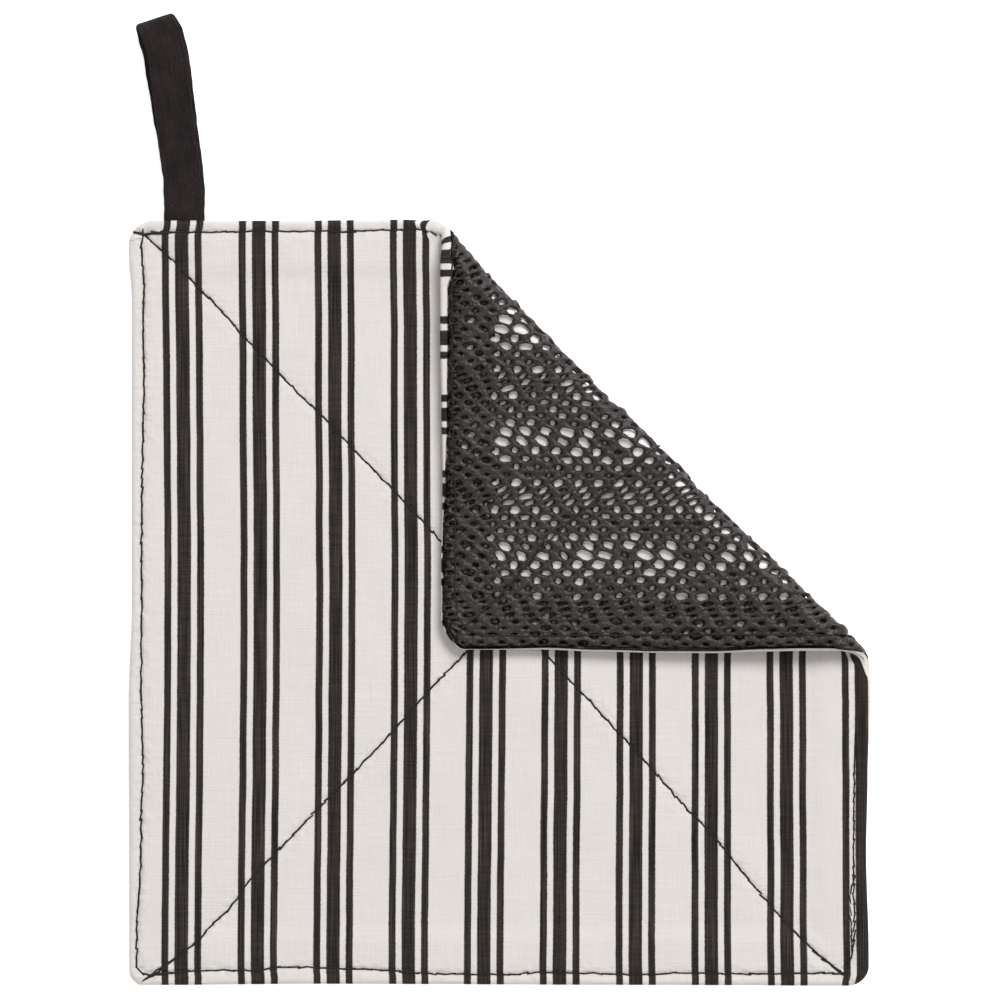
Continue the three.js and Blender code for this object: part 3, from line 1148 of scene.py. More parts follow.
@dataclass(frozen=True)
class CottonFace:
    """The cotton, with its edge turned down round the net."""

    pattern: FlatPattern
    fold: CornerFold
    seams: SeamLines
    step: float = 1.15
    fine: tuple[float, ...] = (0, 0.12, 0.3, 0.55, 0.85, 1.2, 1.7, 2.2, 2.7, 3.2, 3.7, 4.2, 4.8, 5.7)
    top_round: float = 1.3
    hump_reach: tuple[float, float] = (12.0, 13.0)
    hump_foot: float = 2.0
    hump_rise: float = 1.9
    sags: Rows = ((0.10, 34, 3), (0.05, 11, 4))
    sag_from: float = 6.0
    lip_level: float = 0.3
    lip_round: float = 1.0
    lip_turns: tuple[int, ...] = (0, 25, 50, 70, 90)
    roll_share: float = 0.8
    print_from: float = 0.3
    print_turn: float = 150.0
    lip_end: Rows = ((-0.15, 0.0, 1.2), (0.0, 0.2, 1.6), (0.1, 1.2, 2.6))
    tuck: tuple[float, float] = (0.5, 3.6)
    drawn_back: float = 0.9
    furrow: float = 0.35
    beyond_seams: float = 9.0

    def lines(self, half: float) -> np.ndarray:
        """Grid lines across one width, closer near the edges.

        Args:
            half: Half the width.

        Returns:
            Their places.
        """
        inner = half - self.fine[-1]
        middle = np.linspace(-inner, inner, int(2 * inner / self.step))[1:-1]
        fine = np.array(self.fine)
        return np.concatenate([fine - half, middle, (half - fine)[::-1]])

    def crown(self, x: np.ndarray, y: np.ndarray, inset: np.ndarray, furrow: np.ndarray) -> np.ndarray:
        """Height of the outer face.

        Args:
            x: Places across the flat square.
            y: Places along it.
            inset: Distance in from the rim.
            furrow: Share of the furrow's depth.

        Returns:
            Heights in millimetres.
        """
        pattern = self.pattern
        level = pattern.top + pattern.band_rise * pattern.band(x, y)
        across, along = self.hump_reach
        hump = 1 - ((x - pattern.loop_at) / across) ** 2 - ((y - pattern.half_length) / along) ** 2
        over_loop = self.hump_foot + pattern.band_rise + self.hump_rise * np.sqrt(np.clip(hump, 0, 1))
        level = np.maximum(level, over_loop)
        sag = sum(height * waves(x, y, length, seed) for height, length, seed in self.sags)
        level = level + np.clip(inset / self.sag_from, 0, 1) * sag - self.furrow * furrow
        share = np.clip(1 - inset / self.top_round, 0, 1)
        return level - self.top_round * (1 - np.sqrt(1 - share ** 2))

    def ceiling(self, x: np.ndarray, y: np.ndarray) -> np.ndarray:
        """Height of the inner face."""
        return self.pattern.under + self.pattern.band_rise * self.pattern.band(x, y)

    def build(self) -> bpy.types.Object:
        """Builds the closed sheet.

        Returns:
            The cotton's object.
        """
        pattern = self.pattern
        xs, ys = self.lines(pattern.half_width), self.lines(pattern.half_length)
        gx, gy = (grid.ravel() for grid in np.meshgrid(xs, ys))
        px, py = pattern.place(gx, gy)
        away = self.seams.away(px, py)
        level = self.crown(px, py, pattern.depth(gx, gy), self.seams.furrow(away))
        top = np.stack([px, py, level], -1)
        number = np.arange(len(xs) * len(ys)).reshape(len(ys), len(xs))
        rim = np.concatenate([number[0, :-1], number[:-1, -1], number[-1, :0:-1], number[:0:-1, 0]])
        rings = self.turned_edge(gx[rim], gy[rim], px[rim], py[rim])
        ux, uy = pattern.place(*pattern.shrunk(gx, gy, pattern.lip(px, py) + self.tuck[0]))
        bottom = np.stack([ux, uy, self.ceiling(ux, uy)], -1)
        points = np.concatenate([top, *(ring for ring, _ in rings), bottom])
        lining = bottom * (1, 1, 0) + (0, 0, 1)
        printed = np.concatenate([top * (1, 1, 0), *(place for _, place in rings), lining])
        beside = np.concatenate([away, np.full((len(rim) * len(rings), 3), self.beyond_seams), away])
        faces = self.faces(number, rim, len(rings))
        return mesh_object("cotton_sheet", self.fold.bend(points), faces, **{FLAT: printed, SEAMS: beside})

    @staticmethod
    def faces(number: np.ndarray, rim: np.ndarray, ring_count: int) -> list[list[int]]:
        """Joins the top, the rings round its edge and the bottom into a closed sheet.

        Args:
            number: Numbers of the top's points, by row and column.
            rim: Numbers of those on its rim, in order.
            ring_count: How many rings there are.

        Returns:
            Rings of point numbers.
        """
        quads = np.stack([number[:-1, :-1], number[:-1, 1:], number[1:, 1:], number[1:, :-1]], -1)
        quads = quads.reshape(-1, 4)
        base = number.size + ring_count * len(rim)
        rings = [number.size + place * len(rim) + np.arange(len(rim)) for place in range(ring_count)]
        stations = [ring.tolist() for ring in (rim, *rings, rim + base)]
        faces = quads.tolist()
        for ring, following in zip(stations[:-1], stations[1:]):
            faces += [[ring[i - 1], following[i - 1], following[i], ring[i]] for i in range(len(rim))]
        return faces + (quads[:, ::-1] + base).tolist()

    def turned_edge(self, gx: np.ndarray, gy: np.ndarray, px: np.ndarray, py: np.ndarray) -> list:
        """Rings round the edge, from below the rim over the turned edge's face to the inside.

        Args:
            gx: Places across of the rim on the straight square.
            gy: Places along of the same.
            px: Places across of the real rim.
            py: Places along of the same.

        Returns:
            For each ring its points, and their places in the print.
        """
        pattern = self.pattern
        lip = pattern.lip(px, py)
        rim = np.stack([px, py], -1)
        outward = rim - np.stack(pattern.place(*pattern.drawn_in(gx, gy, np.full(len(gx), 1.0))), -1)
        outward /= np.linalg.norm(outward, axis=1, keepdims=True)
        highest = pattern.under + pattern.band_rise
        roll = np.minimum(self.lip_round, self.roll_share * lip)
        stations = []
        for degrees in self.lip_turns:
            angle = math.radians(degrees)
            level = self.lip_level + self.lip_round * (1 - math.sin(angle))
            beyond = self.print_from + degrees / self.print_turn
            stations.append((roll * (1 - math.cos(angle)), level, beyond))
        stations += [(lip + past, self.lip_level + rise, beyond) for past, rise, beyond in self.lip_end]
        stations.append((lip + self.tuck[0], highest, self.tuck[1]))
        rings = []
        drawn_back = self.drawn_back * pattern.bare(px, py)
        for inset, level, beyond in stations:
            place = pattern.place(*pattern.drawn_in(gx, gy, np.maximum(inset, 0)))
            ring = np.stack([*place, np.minimum(level + drawn_back, highest)], -1)
            printed = np.concatenate([rim + outward * beyond, np.zeros((len(ring), 1))], 1)
            rings.append((ring, printed))
        return rings


@dataclass(frozen=True)
class CharcoalVinyl:
    """Foamed vinyl of the non-slip net: charcoal, smooth and a little shiny, with small painted glints mixed
    into its colour.
    """

    colour: tuple[float, float, float] = (0.0168, 0.0108, 0.0092)
    # painted glints: a light colour mixed into the base colour in small spots, in place of highlights on the
    # strands
    painted_glint: tuple[float, float, float, float] = (0.18, 0.152, 0.143, 1)
    painted_glint_over: tuple[float, float] = (0.12, 0.2311)
    painted_glint_share: float = 0.35
    cloud: Grain = Grain(90, 2, 0.9)
    pores: Grain = Grain(700, 2)
    tone: float = 0.95
    least_tone: float = 0.3
    gloss: Grain = Grain(260, 2, 0.4)
    rough: float = 0.4
    foam: Grain = Grain(1500, 3, 0.3)
    lumps: Grain = Grain(600, 1, 0.45)
    painted_glint_spots: Grain = Grain(1100, 2)
    shine: float = 0.45

    def material(self) -> bpy.types.Material:
        """Builds the net's material.

        Returns:
            The material.
        """
        material, board = material_board("charcoal_vinyl")
        place = board.object_place()
        tone = self.cloud.on(board, place) + self.pores.on(board, place) + self.tone
        rough = self.gloss.on(board, place) + self.rough
        relief = self.foam.on(board, place) + self.lumps.on(board, place)
        # painted glints: noise spots that lighten the strands' colour as highlights would
        painted_glint_spots = self.painted_glint_spots.on(board, place).ramp(*self.painted_glint_over) * self.painted_glint_share
        colour = board.mixed(painted_glint_spots, board.shade(self.colour, tone.most(self.least_tone)), self.painted_glint)
        board.surface(colour, rough, relief, 1.0, Specular_IOR_Level=self.shine)
        return material


@dataclass(frozen=True)
class HoleRow:
    """One row of openings: its distance below the wave's first row, shift, sizes, and lean in degrees."""

    below: float
    shift: float
    long: float
    wide: float
    lean: float


@dataclass
class NetCells:
    """Flat cells of a net: corner places, rings of corner numbers, and the opening in each ring."""

    places: np.ndarray
    rings: list[list[int]]
    openings: np.ndarray

    def halved(self, longest: np.ndarray) -> None:
        """Adds a corner in the middle of each side that is longer than its ring allows.

        Args:
            longest: Longest side allowed, one value for each ring.
        """
        places, middles = self.places.tolist(), {}
        for ring, limit in zip(self.rings, longest):
            for a, b in zip(ring, ring[1:] + ring[:1]):
                if math.dist(places[a], places[b]) > limit and (min(a, b), max(a, b)) not in middles:
                    middles[(min(a, b), max(a, b))] = len(places)
                    places.append([(p + q) / 2 for p, q in zip(places[a], places[b])])
        self.places = np.array(places)
        for number, ring in enumerate(self.rings):
            whole = []
            for a, b in zip(ring, ring[1:] + ring[:1]):
                whole.append(a)
                whole += [middles[key] for key in [(min(a, b), max(a, b))] if key in middles]
            self.rings[number] = whole

    def kept(self, chosen: np.ndarray) -> None:
        """Drops the rings that are not chosen, and the corners that no ring uses.

        Args:
            chosen: True for each ring that stays.
        """
        self.rings = [ring for ring, is_kept in zip(self.rings, chosen) if is_kept]
        self.openings = self.openings[chosen]
        used = sorted({number for ring in self.rings for number in ring})
        renumber = {old: new for new, old in enumerate(used)}
        self.rings = [[renumber[number] for number in ring] for ring in self.rings]
        self.places = self.places[used]

    def border(self) -> np.ndarray:
        """Finds the corners on the border.

        Returns:
            True for each of them.
        """
        tally: dict[tuple[int, int], int] = {}
        for ring in self.rings:
            for a, b in zip(ring, ring[1:] + ring[:1]):
                tally[(min(a, b), max(a, b))] = tally.get((min(a, b), max(a, b)), 0) + 1
        on_border = np.zeros(len(self.places), bool)
        on_border[[number for key, uses in tally.items() if uses == 1 for number in key]] = True
        return on_border

    def centres(self) -> np.ndarray:
        """Middle of each ring."""
        return np.array([self.places[ring].mean(0) for ring in self.rings])


@dataclass(frozen=True)
class GripNet:
    """The non-slip net: strands that part and join round rows of openings, whose lean swings in a long wave.

    The openings are laid out in the plane in which the flap shows them, with heights that rise from the
    cotton.
    """

    pattern: FlatPattern
    fold: CornerFold
    seams: SeamLines
    pitch: float = 5.58
    wave: float = 30.7
    first_row: tuple[float, float] = (6.3, 43.2)
    sways: Rows = ((0.3, 23), (0.25, 31))
    scatter: tuple[float, float] = (1.0, 0.7)
    loose: tuple[float, float] = (0.15, 0.3)
    size: Spread = Spread(1.04, 0.22, 0.55, 1.5)
    doubled_size: Spread = Spread(0.8, 0.3, 0.3, 1.3)
    allowance_size: Spread = Spread(1.15, 0.25, 0.6, 1.6)
    closed: tuple[float, float] = (0.05, 0.22)
    closed_together: float = 0.75
    closed_size: float = 0.3
    leaning: tuple[float, float] = (11, 24)
    corner_reach: float = 26.0
    fold_reach: tuple[float, float] = (-4, 15)
    fold_depth: float = 10.0
    thick: float = 1.3
    least_depth: float = 0.9
    flap_side: float = 1.1
    base_side: float = 2.85
    flap_room: float = 3.0
    snap_near: float = 4.5
    snap_both: float = 1.8
    edge_in: float = 0.15
    edge_out: float = -0.3
    edge_wave: float = 2.6
    edge_seed: int = 77
    edge_sway: tuple[float, float] = (0.5, 0.12)
    sunk: float = 0.08
    sunk_spread: float = 0.09
    sunk_wave: float = 9.0
    furrow: float = 0.3
    fold_bump: float = 0.42
    past_rim: float = 0.65
    allowance_thick: float = 0.75
    allowance_middle: float = 1.7
    allowance_depth: float = 13.5
    pocket_half: float = 5.5
    pocket_from: float = 97.3
    pocket_thick: float = 0.4
    pocket_room: tuple[float, float] = (1.0, 1.0)
    loop_room: tuple[float, float] = (1.5, 2.0)
    rows: tuple[HoleRow, ...] = (
        HoleRow(0.0, 0.0, 4.3, 1.9, -35), HoleRow(2.45, -1.9, 2.2, 2.1, 0),
        HoleRow(4.6, 0.6, 2.7, 1.5, -10), HoleRow(6.7, -1.6, 1.5, 1.3, 0),
        HoleRow(8.7, 1.1, 1.0, 0.9, 0), HoleRow(10.8, -1.5, 2.4, 2.0, 25),
        HoleRow(12.7, -0.4, 2.9, 0.9, 35), HoleRow(14.3, 0.7, 3.1, 1.0, 35),
        HoleRow(16.0, 1.3, 3.0, 1.1, 28), HoleRow(17.9, 2.5, 2.0, 2.3, 10),
        HoleRow(20.1, 0.8, 2.2, 1.1, 5), HoleRow(21.8, 2.4, 1.6, 1.6, 0),
        HoleRow(23.6, -0.3, 1.7, 1.1, 0), HoleRow(25.6, 2.1, 2.1, 1.7, -20),
        HoleRow(27.7, 0.9, 2.8, 1.7, -35),
    )
    lumps: tuple[float, float] = (0.9, 1.7)
    least_reach: float = 0.001
    strand: tuple[tuple[str, float], ...] = (
        ("Shoulder", 0.42), ("Shoulder Height", 0.72), ("Widest Opening", 0.78), ("Squareness", 2.7),
        ("Unevenness", 1.3), ("Join", 0.004),
    )

    def flat(self, places: np.ndarray) -> tuple[np.ndarray, np.ndarray]:
        """Places on the straight square of points of the flap's plane."""
        return self.fold.reach - places[..., 1], self.fold.reach - places[..., 0]

    def drawn_together(self, x: float, y: float) -> bool:
        """Whether the net is drawn together at a place: near a corner, and where the fold meets an edge.

        Args:
            x: Its place across the flat square.
            y: Its place along it.

        Returns:
            True where it is.
        """
        sides = (self.pattern.half_width - abs(x)) + (self.pattern.half_length - abs(y))
        past = self.fold.across(x, y) - self.fold.start
        at_fold = self.fold_reach[0] < past < self.fold_reach[1]
        return sides < self.corner_reach or (at_fold and self.pattern.depth(x, y) < self.fold_depth)

    def cells(self, layer: Layer) -> NetCells:
        """Lays out one cell round each opening, over more than the whole square.

        Args:
            layer: The layer.

        Returns:
            The cells.
        """
        random = np.random.default_rng(layer.seed)
        margin = 2 * self.pitch
        left = self.fold.reach - self.pattern.half_length - margin
        right = self.fold.reach + self.pattern.half_length + margin
        low = self.fold.reach - self.pattern.half_width - margin
        high = self.fold.reach + self.pattern.half_width + margin
        top_row = self.first_row[1] + layer.shift[1]
        turns = range(int((top_row - high) / self.wave) - 1, int((top_row - low) / self.wave) + 2)
        levels = [(top_row - turn * self.wave - row.below, row) for turn in turns for row in self.rows]
        levels = [item for item in levels if low < item[0] < high]
        offsets = [(self.first_row[0] + layer.shift[0] + row.shift - left) % self.pitch for _, row in levels]
        index = np.arange(int((right - left) / self.pitch) + 1)
        centres = np.array([
            np.stack([left + offset + index * self.pitch, np.full(len(index), level)], -1)
            for offset, (level, _) in zip(offsets, levels)
        ])
        x, y = centres[..., 0].copy(), centres[..., 1].copy()
        depth = self.pattern.depth(*self.flat(centres))
        loose = np.where(depth < self.pattern.band_flat, self.loose[1], self.loose[0])
        for axis, ((height, length), spread) in enumerate(zip(self.sways, self.scatter)):
            centres[..., axis] += height * waves(x, y, length, layer.seed + 1 + axis)
            centres[..., axis] += random.normal(0, spread, x.shape) * loose
        return self.rings(centres, [row for _, row in levels], offsets, layer, random)

    def rings(
        self, centres: np.ndarray, rows: list[HoleRow], offsets: list[float], layer: Layer,
        random: np.random.Generator,
    ) -> NetCells:
        """Draws the cells between neighbouring openings. Each corner lies in the middle of three openings.

        Args:
            centres: Middle of each opening, by row and column.
            rows: The openings' sizes, by row.
            offsets: Place of each row's first column.
            layer: The layer.
            random: Source of the unevenness.

        Returns:
            The cells.
        """
        places: list[np.ndarray] = []
        numbers: dict[tuple[int, int, bool], int] = {}

        def corner(row: int, column: int, is_between: bool) -> int:
            """The corner below an opening, or below the gap to its right.

            Args:
                row: The opening's row.
                column: Its column.
                is_between: True for the corner below the gap.

            Returns:
                The corner's number.
            """
            key = (row, column, is_between)
            if key not in numbers:
                right = column + int(offsets[row + 1] <= offsets[row])
                trio = [centres[row, column], centres[row + 1, right]]
                trio.append(centres[row, column + 1] if is_between else centres[row + 1, right - 1])
                numbers[key] = len(places)
                places.append(np.mean(trio, 0))
            return numbers[key]

        rings, openings = [], []
        for row in range(1, len(rows) - 1):
            lead = int(offsets[row] <= offsets[row - 1])
            for column in range(2, centres.shape[1] - 2):
                above = column - lead
                rings.append([
                    corner(row, column - 1, True), corner(row, column, False), corner(row, column, True),
                    corner(row - 1, above + 1, False), corner(row - 1, above, True),
                    corner(row - 1, above, False),
                ])
                openings.append(self.opening(rows[row], self.flat(centres[row, column]), layer, random))
        return NetCells(np.array(places), rings, np.array(openings))

    def opening(
        self, row: HoleRow, place: tuple[float, float], layer: Layer, random: np.random.Generator,
    ) -> tuple[float, float, float]:
        """Draws one opening.

        Args:
            row: The row's usual sizes.
            place: Its place on the flat square.
            layer: The layer. The openings of the allowance aren't drawn together.
            random: Source of the unevenness.

        Returns:
            Half its length and width, and its lean.
        """
        is_face = layer is Layer.FACE
        doubled_to = self.pattern.band_flat + 1.0 if is_face else 0.0
        is_doubled = bool(self.pattern.depth(*place) < doubled_to)
        size = self.size.draw(random)
        if is_doubled:
            size = self.doubled_size.draw(random)
        closed = self.closed[is_doubled]
        if is_face and self.drawn_together(*place):
            closed = self.closed_together
        if random.random() < closed:
            size *= self.closed_size
        if not is_face:
            size = self.allowance_size.draw(random)
        lean = math.radians(row.lean + random.normal(0, self.leaning[is_doubled]))
        return row.long * size / 2, row.wide * size / 2, lean

    def near_loop(self, x: np.ndarray, y: np.ndarray, aside: float, below: float) -> np.ndarray:
        """Whether places lie where the hanging loop is caught, or within some room of it."""
        return (np.abs(x - self.pattern.loop_at) < self.pocket_half + aside) & (y > self.pocket_from - below)

    def trimmed(self, cells: NetCells, layer: Layer) -> None:
        """Keeps the cells on the square and brings their border to its outline.

        Args:
            cells: The cells.
            layer: The layer. Of the allowance only the turned-in band is kept.
        """
        x, y = self.flat(cells.centres())
        depth = self.pattern.depth(x, y)
        inside = depth > self.least_depth
        if layer is Layer.ALLOWANCE:
            inside &= (depth < self.allowance_depth) & ~self.near_loop(x, y, *self.loop_room)
        cells.kept(inside)
        on_flap = self.fold.across(*self.flat(cells.centres())) > self.fold.start - self.flap_room
        cells.halved(np.where(on_flap, self.flap_side, self.base_side))
        border = cells.border()
        x, y = self.flat(cells.places)
        away = np.stack([self.pattern.half_width - np.abs(x), self.pattern.half_length - np.abs(y)], -1)
        at_top = y > self.pattern.half_length - self.snap_near
        sway = waves(x, y, self.edge_wave, self.edge_seed) * np.where(at_top, *self.edge_sway)
        edge = np.maximum(self.edge_in + sway, self.edge_out)
        nearest = away.argmin(-1)
        for axis in (0, 1):
            is_near = (nearest == axis) | (away[:, axis] < self.snap_both)
            snapped = border & (away[:, axis] < self.snap_near) & is_near
            away[:, axis] = np.where(snapped, edge, np.maximum(away[:, axis], edge))
        x = np.sign(x) * (self.pattern.half_width - away[:, 0])
        y = np.sign(y) * (self.pattern.half_length - away[:, 1])
        cells.places = np.stack([self.fold.reach - y, self.fold.reach - x], -1)

    def tree(self, material: bpy.types.Material) -> bpy.types.NodeTree:
        """Node tree that turns flat cells into strands round oval openings.

        Each cell is drawn in over three rings: the strand's shoulder, the wall of the opening and the
        strand's underside, where neighbouring cells meet again.

        Args:
            material: The strands' material.

        Returns:
            The tree.
        """
        board, mesh = geometry_board("net_strands", dict(self.strand))
        share, rise, widest, squareness, uneven, join = (mesh.output(name) for name, _ in self.strand)
        rim, centre = board.stored("rim"), board.stored("centre")
        middle, half = board.stored("middle", "FLOAT"), board.stored("half", "FLOAT")
        centre_x, centre_y, _ = board.axes(centre)
        long, wide, lean = board.axes(board.stored("opening"))
        rim_x, rim_y, rim_z = board.axes(rim)
        run_x, run_y = rim_x - centre_x, rim_y - centre_y
        reach = (run_x * run_x + run_y * run_y).combined("SQRT").most(self.least_reach)
        turned = run_y.combined("ARCTAN2", run_x) - lean
        across, along = wide * turned.cosine(), long * turned.sine()
        corners = abs(across).combined("POWER", squareness) + abs(along).combined("POWER", squareness)
        oval = long * wide / corners.combined("POWER", 1.0 / squareness)
        odd = board.noise(rim * self.lumps[0] + centre * self.lumps[1], 1.0, 1)
        oval = oval * (odd * uneven + 1.0)
        wall = oval.least(reach * widest)
        shoulder = wall + (reach - wall) * share
        top = None
        rings = ((shoulder, middle + half * rise), (wall, middle), (reach, middle * 2.0 - rim_z))
        for radius, level in rings:
            choice = {"Mesh": mesh, "Offset Scale": 0.0, "Individual": True}
            if top is not None:
                choice["Selection"] = top
            drawn = board.node("GeometryNodeExtrudeMesh", {"mode": "FACES"}, choice, out="Mesh")
            top = drawn.output("Top")
            place = board.vector(centre_x + run_x / reach * radius, centre_y + run_y / reach * radius, level)
            moved = {"Geometry": drawn, "Selection": top, "Position": place}
            mesh = board.node("GeometryNodeSetPosition", inputs=moved)
        dropped = {"Geometry": mesh, "Selection": top}
        opened = board.node("GeometryNodeDeleteGeometry", {"domain": "FACE", "mode": "ALL"}, dropped)
        joined = board.node("GeometryNodeMergeByDistance", inputs={"Geometry": opened, "Distance": join})
        return board.deliver(joined, material)

    def levels(self, cells: NetCells, layer: Layer) -> tuple[np.ndarray, np.ndarray, np.ndarray]:
        """Heights of the corners: of the strand's crest, of its middle, and half its thickness.

        Args:
            cells: The cells.
            layer: The layer.

        Returns:
            The three heights, rising from the cotton.
        """
        random = np.random.default_rng(layer.seed)
        count = len(cells.places)
        x, y = self.flat(cells.places)
        if layer is Layer.ALLOWANCE:
            half = np.full(count, self.allowance_thick / 2)
            middle = np.full(count, -self.allowance_middle)
        else:
            in_pocket = self.near_loop(x, y, *self.pocket_room)
            half = np.where(in_pocket, self.pocket_thick, self.thick) / 2
            uneven = np.abs(random.normal(0, self.sunk_spread, count))
            uneven = uneven + self.sunk + self.sunk * waves(x, y, self.sunk_wave, layer.seed + 5)
            furrow = self.furrow * self.seams.furrow(self.seams.away(x, y))
            sunk = np.where(in_pocket, 0.0, np.maximum(uneven, 0) + furrow)
            on_bend = np.sin(np.pi * self.fold.turned(self.fold.across(x, y)))
            proud = on_bend * np.maximum(waves(x, y, self.pitch, layer.seed + 6), 0)
            middle = self.fold_bump * proud - half - sunk
        crest = middle + np.where(cells.border(), 0.0, half)
        return crest, middle, half

    def build(self, layer: Layer, material: bpy.types.Material) -> bpy.types.Object:
        """Builds one layer of the net.

        Args:
            layer: The layer.
            material: The strands' material.

        Returns:
            The layer's object.
        """
        cells = self.cells(layer)
        self.trimmed(cells, layer)
        crest, middle, half = self.levels(cells, layer)
        points = np.concatenate([cells.places, crest[:, None]], 1)
        start = mesh_object("net_cells", points, cells.rings, rim=points, middle=middle, half=half)
        centres = np.concatenate([cells.centres(), np.zeros((len(cells.rings), 1))], 1)
        keep_values(start.data, "FACE", {"centre": centres, "opening": cells.openings})
        net = grown(start, self.tree(material), dict(self.strand), layer.piece)
        places = np.empty(len(net.data.vertices) * 3, "f")
        net.data.vertices.foreach_get("co", places)
        places = places.reshape(-1, 3).astype(float)
        x, y = self.flat(places)
        inner = self.pattern.lip(x, y) + self.pattern.gap - self.past_rim * self.pattern.bare(x, y)
        x, y = self.pattern.place(*self.pattern.shrunk(x, y, inner))
        net.data.vertices.foreach_set("co", self.fold.bend(np.stack([x, y, -places[:, 2]], -1)).ravel())
        for name in ("rim", "centre", "opening"):
            if name in net.data.attributes:
                net.data.attributes.remove(net.data.attributes[name])
        net.data.update()
        return net


@dataclass(frozen=True)
class BlackThread:
    """Black sewing thread, twisted from two plies."""

    colour: tuple[float, float, float] = (0.017, 0.0125, 0.0115)
    twist: float = 0.55
    lean: float = 9.0
    ply_tone: float = 0.25
    ply_height: float = 0.04
    fuzz: Grain = Grain(2600, 2, 0.8)
    rough: float = 0.6
    shine: float = 0.3

    def material(self) -> bpy.types.Material:
        """Builds the thread's material.

        Returns:
            The material.
        """
        material, board = material_board("black_thread")
        along, across, _ = board.axes(board.read("strand"))
        ply = (along * (FULL_TURN / self.twist) + across * self.lean).sine()
        tone = ply * self.ply_tone + self.fuzz.on(board, board.object_place()) + 1.0
        colour = board.shade(self.colour, tone)
        board.surface(colour, self.rough, ply * self.ply_height, 1.0, Specular_IOR_Level=self.shine)
        return material


@dataclass(frozen=True)
class Run:
    """A line of stitches on the flat square: places and heights, directions out of the surface, and girth."""

    line: np.ndarray
    up: np.ndarray
    girth: float


@dataclass(frozen=True)
class Stitching:
    """Runs of stitches laid along lines on the surface, each stitch a short arc of thread."""

    fold: CornerFold
    pitch: float = 2.5
    length: float = 2.7
    thread: float = 0.255
    knot: float = 0.38
    rise: float = 0.1
    sway: float = 0.09
    jitter: float = 0.19
    tilt: float = 0.2
    knot_shape: tuple[float, float, float] = (1.3, 0.9, 0.7)
    uneven: float = 0.14
    sides: int = 6
    rings: int = 4

    @property
    def sizes(self) -> dict[str, float]:
        """Named inputs of the node tree, in metres but for the jitter."""
        return {
            "Pitch": self.pitch * MM, "Length": self.length * MM, "Thread": self.thread * MM,
            "Knot": self.knot * MM, "Rise": self.rise * MM, "Sway": self.sway * MM, "Jitter": self.jitter,
        }

    def stitch(self, board: Board, length: Wire, thread: Wire, knot: Wire, rise: Wire) -> Wire:
        """Makes one stitch, a low arc of thread with a knot where it enters the cloth.

        Args:
            board: The tree's nodes.
            length: Its length.
            thread: Half its thickness.
            knot: Half the knot's.
            rise: Height of the arc.

        Returns:
            The stitch, with its own places kept for the thread's material.
        """
        foot = board.vector(length * -0.5)
        arc = board.node("GeometryNodeCurveQuadraticBezier", inputs={
            "Resolution": self.sides, "Start": foot, "Middle": board.vector(0.0, 0.0, rise * 2.0),
            "End": board.vector(length * 0.5),
        })
        circle = {"Resolution": self.sides, "Radius": thread}
        section = board.node("GeometryNodeCurvePrimitiveCircle", {"mode": "RADIUS"}, circle)
        swept = {"Curve": arc, "Profile Curve": section, "Fill Caps": True}
        strand = board.node("GeometryNodeCurveToMesh", inputs=swept)
        sphere = {"Segments": self.sides, "Rings": self.rings, "Radius": knot}
        ball = board.node("GeometryNodeMeshUVSphere", inputs=sphere, out="Mesh")
        pressed = {"Geometry": ball, "Translation": foot, "Scale": self.knot_shape}
        joined = board.joined(strand, board.node("GeometryNodeTransform", inputs=pressed))
        local = board.node("GeometryNodeInputPosition").scaled(1 / MM)
        kept = {"Geometry": joined, "Name": "strand", "Value": local}
        domain = {"data_type": "FLOAT_VECTOR", "domain": "POINT"}
        return board.node("GeometryNodeStoreNamedAttribute", domain, kept)

    def tree(self, material: bpy.types.Material) -> bpy.types.NodeTree:
        """Node tree that lays stitches along lines.

        Args:
            material: The thread's material.

        Returns:
            The tree.
        """
        board, lines = geometry_board("stitch_run", self.sizes)
        pitch, length, thread, knot, rise, sway, jitter = (lines.output(name) for name in self.sizes)
        curve = board.node("GeometryNodeMeshToCurve", inputs={0: lines})
        evenly = {"Curve": curve, "Length": pitch}
        spaced = board.node("GeometryNodeResampleCurve", {"mode": "LENGTH"}, evenly)
        up, girth = board.stored("up"), board.stored("girth", "FLOAT")
        tangent = board.node("GeometryNodeInputTangent")
        directions = {
            0: up + self.random(board, 1).scaled(jitter * self.tilt),
            1: tangent + self.random(board, 2).scaled(jitter),
        }
        axes = {"primary_axis": "Z", "secondary_axis": "X"}
        turn = board.node("FunctionNodeAxesToRotation", axes, directions)
        aside = up.across(tangent).scaled(board.axes(self.random(board, 4))[0] * sway)
        swayed = board.node("GeometryNodeSetPosition", inputs={"Geometry": spaced, "Offset": aside})
        size = (self.random(board, 3) * self.uneven + 1.0) * board.vector(1.0, girth, girth)
        stitch = self.stitch(board, length, thread, knot, rise)
        laid = board.node("GeometryNodeInstanceOnPoints", inputs={
            "Points": swayed, "Instance": stitch, "Rotation": turn, "Scale": size,
        })
        return board.deliver(laid, material)

    @staticmethod
    def random(board: Board, seed: int) -> Wire:
        """A random vector about 0 for each stitch."""
        ends = {0: (-1, -1, -1), 1: (1, 1, 1), "Seed": seed}
        return board.node("FunctionNodeRandomValue", {"data_type": "FLOAT_VECTOR"}, ends)

    def build(self, name: str, runs: list[Run], material: bpy.types.Material) -> bpy.types.Object:
        """Lays stitches along lines of the flat square.

        Args:
            name: The object's name.
            runs: The lines.
            material: The thread's material.

        Returns:
            The stitches' object.
        """
        points, edges, ups, girths, count = [], [], [], [], 0
        for run in runs:
            points.append(self.fold.bend(run.line))
            edges += [(count + i, count + i + 1) for i in range(len(run.line) - 1)]
            ups.append(run.up)
            girths.append(np.full(len(run.line), run.girth))
            count += len(run.line)
        values = {"up": np.concatenate(ups), "girth": np.concatenate(girths)}
        start = mesh_object(name + "_lines", np.concatenate(points), [], edges, **values)
        return grown(start, self.tree(material), self.sizes, name)


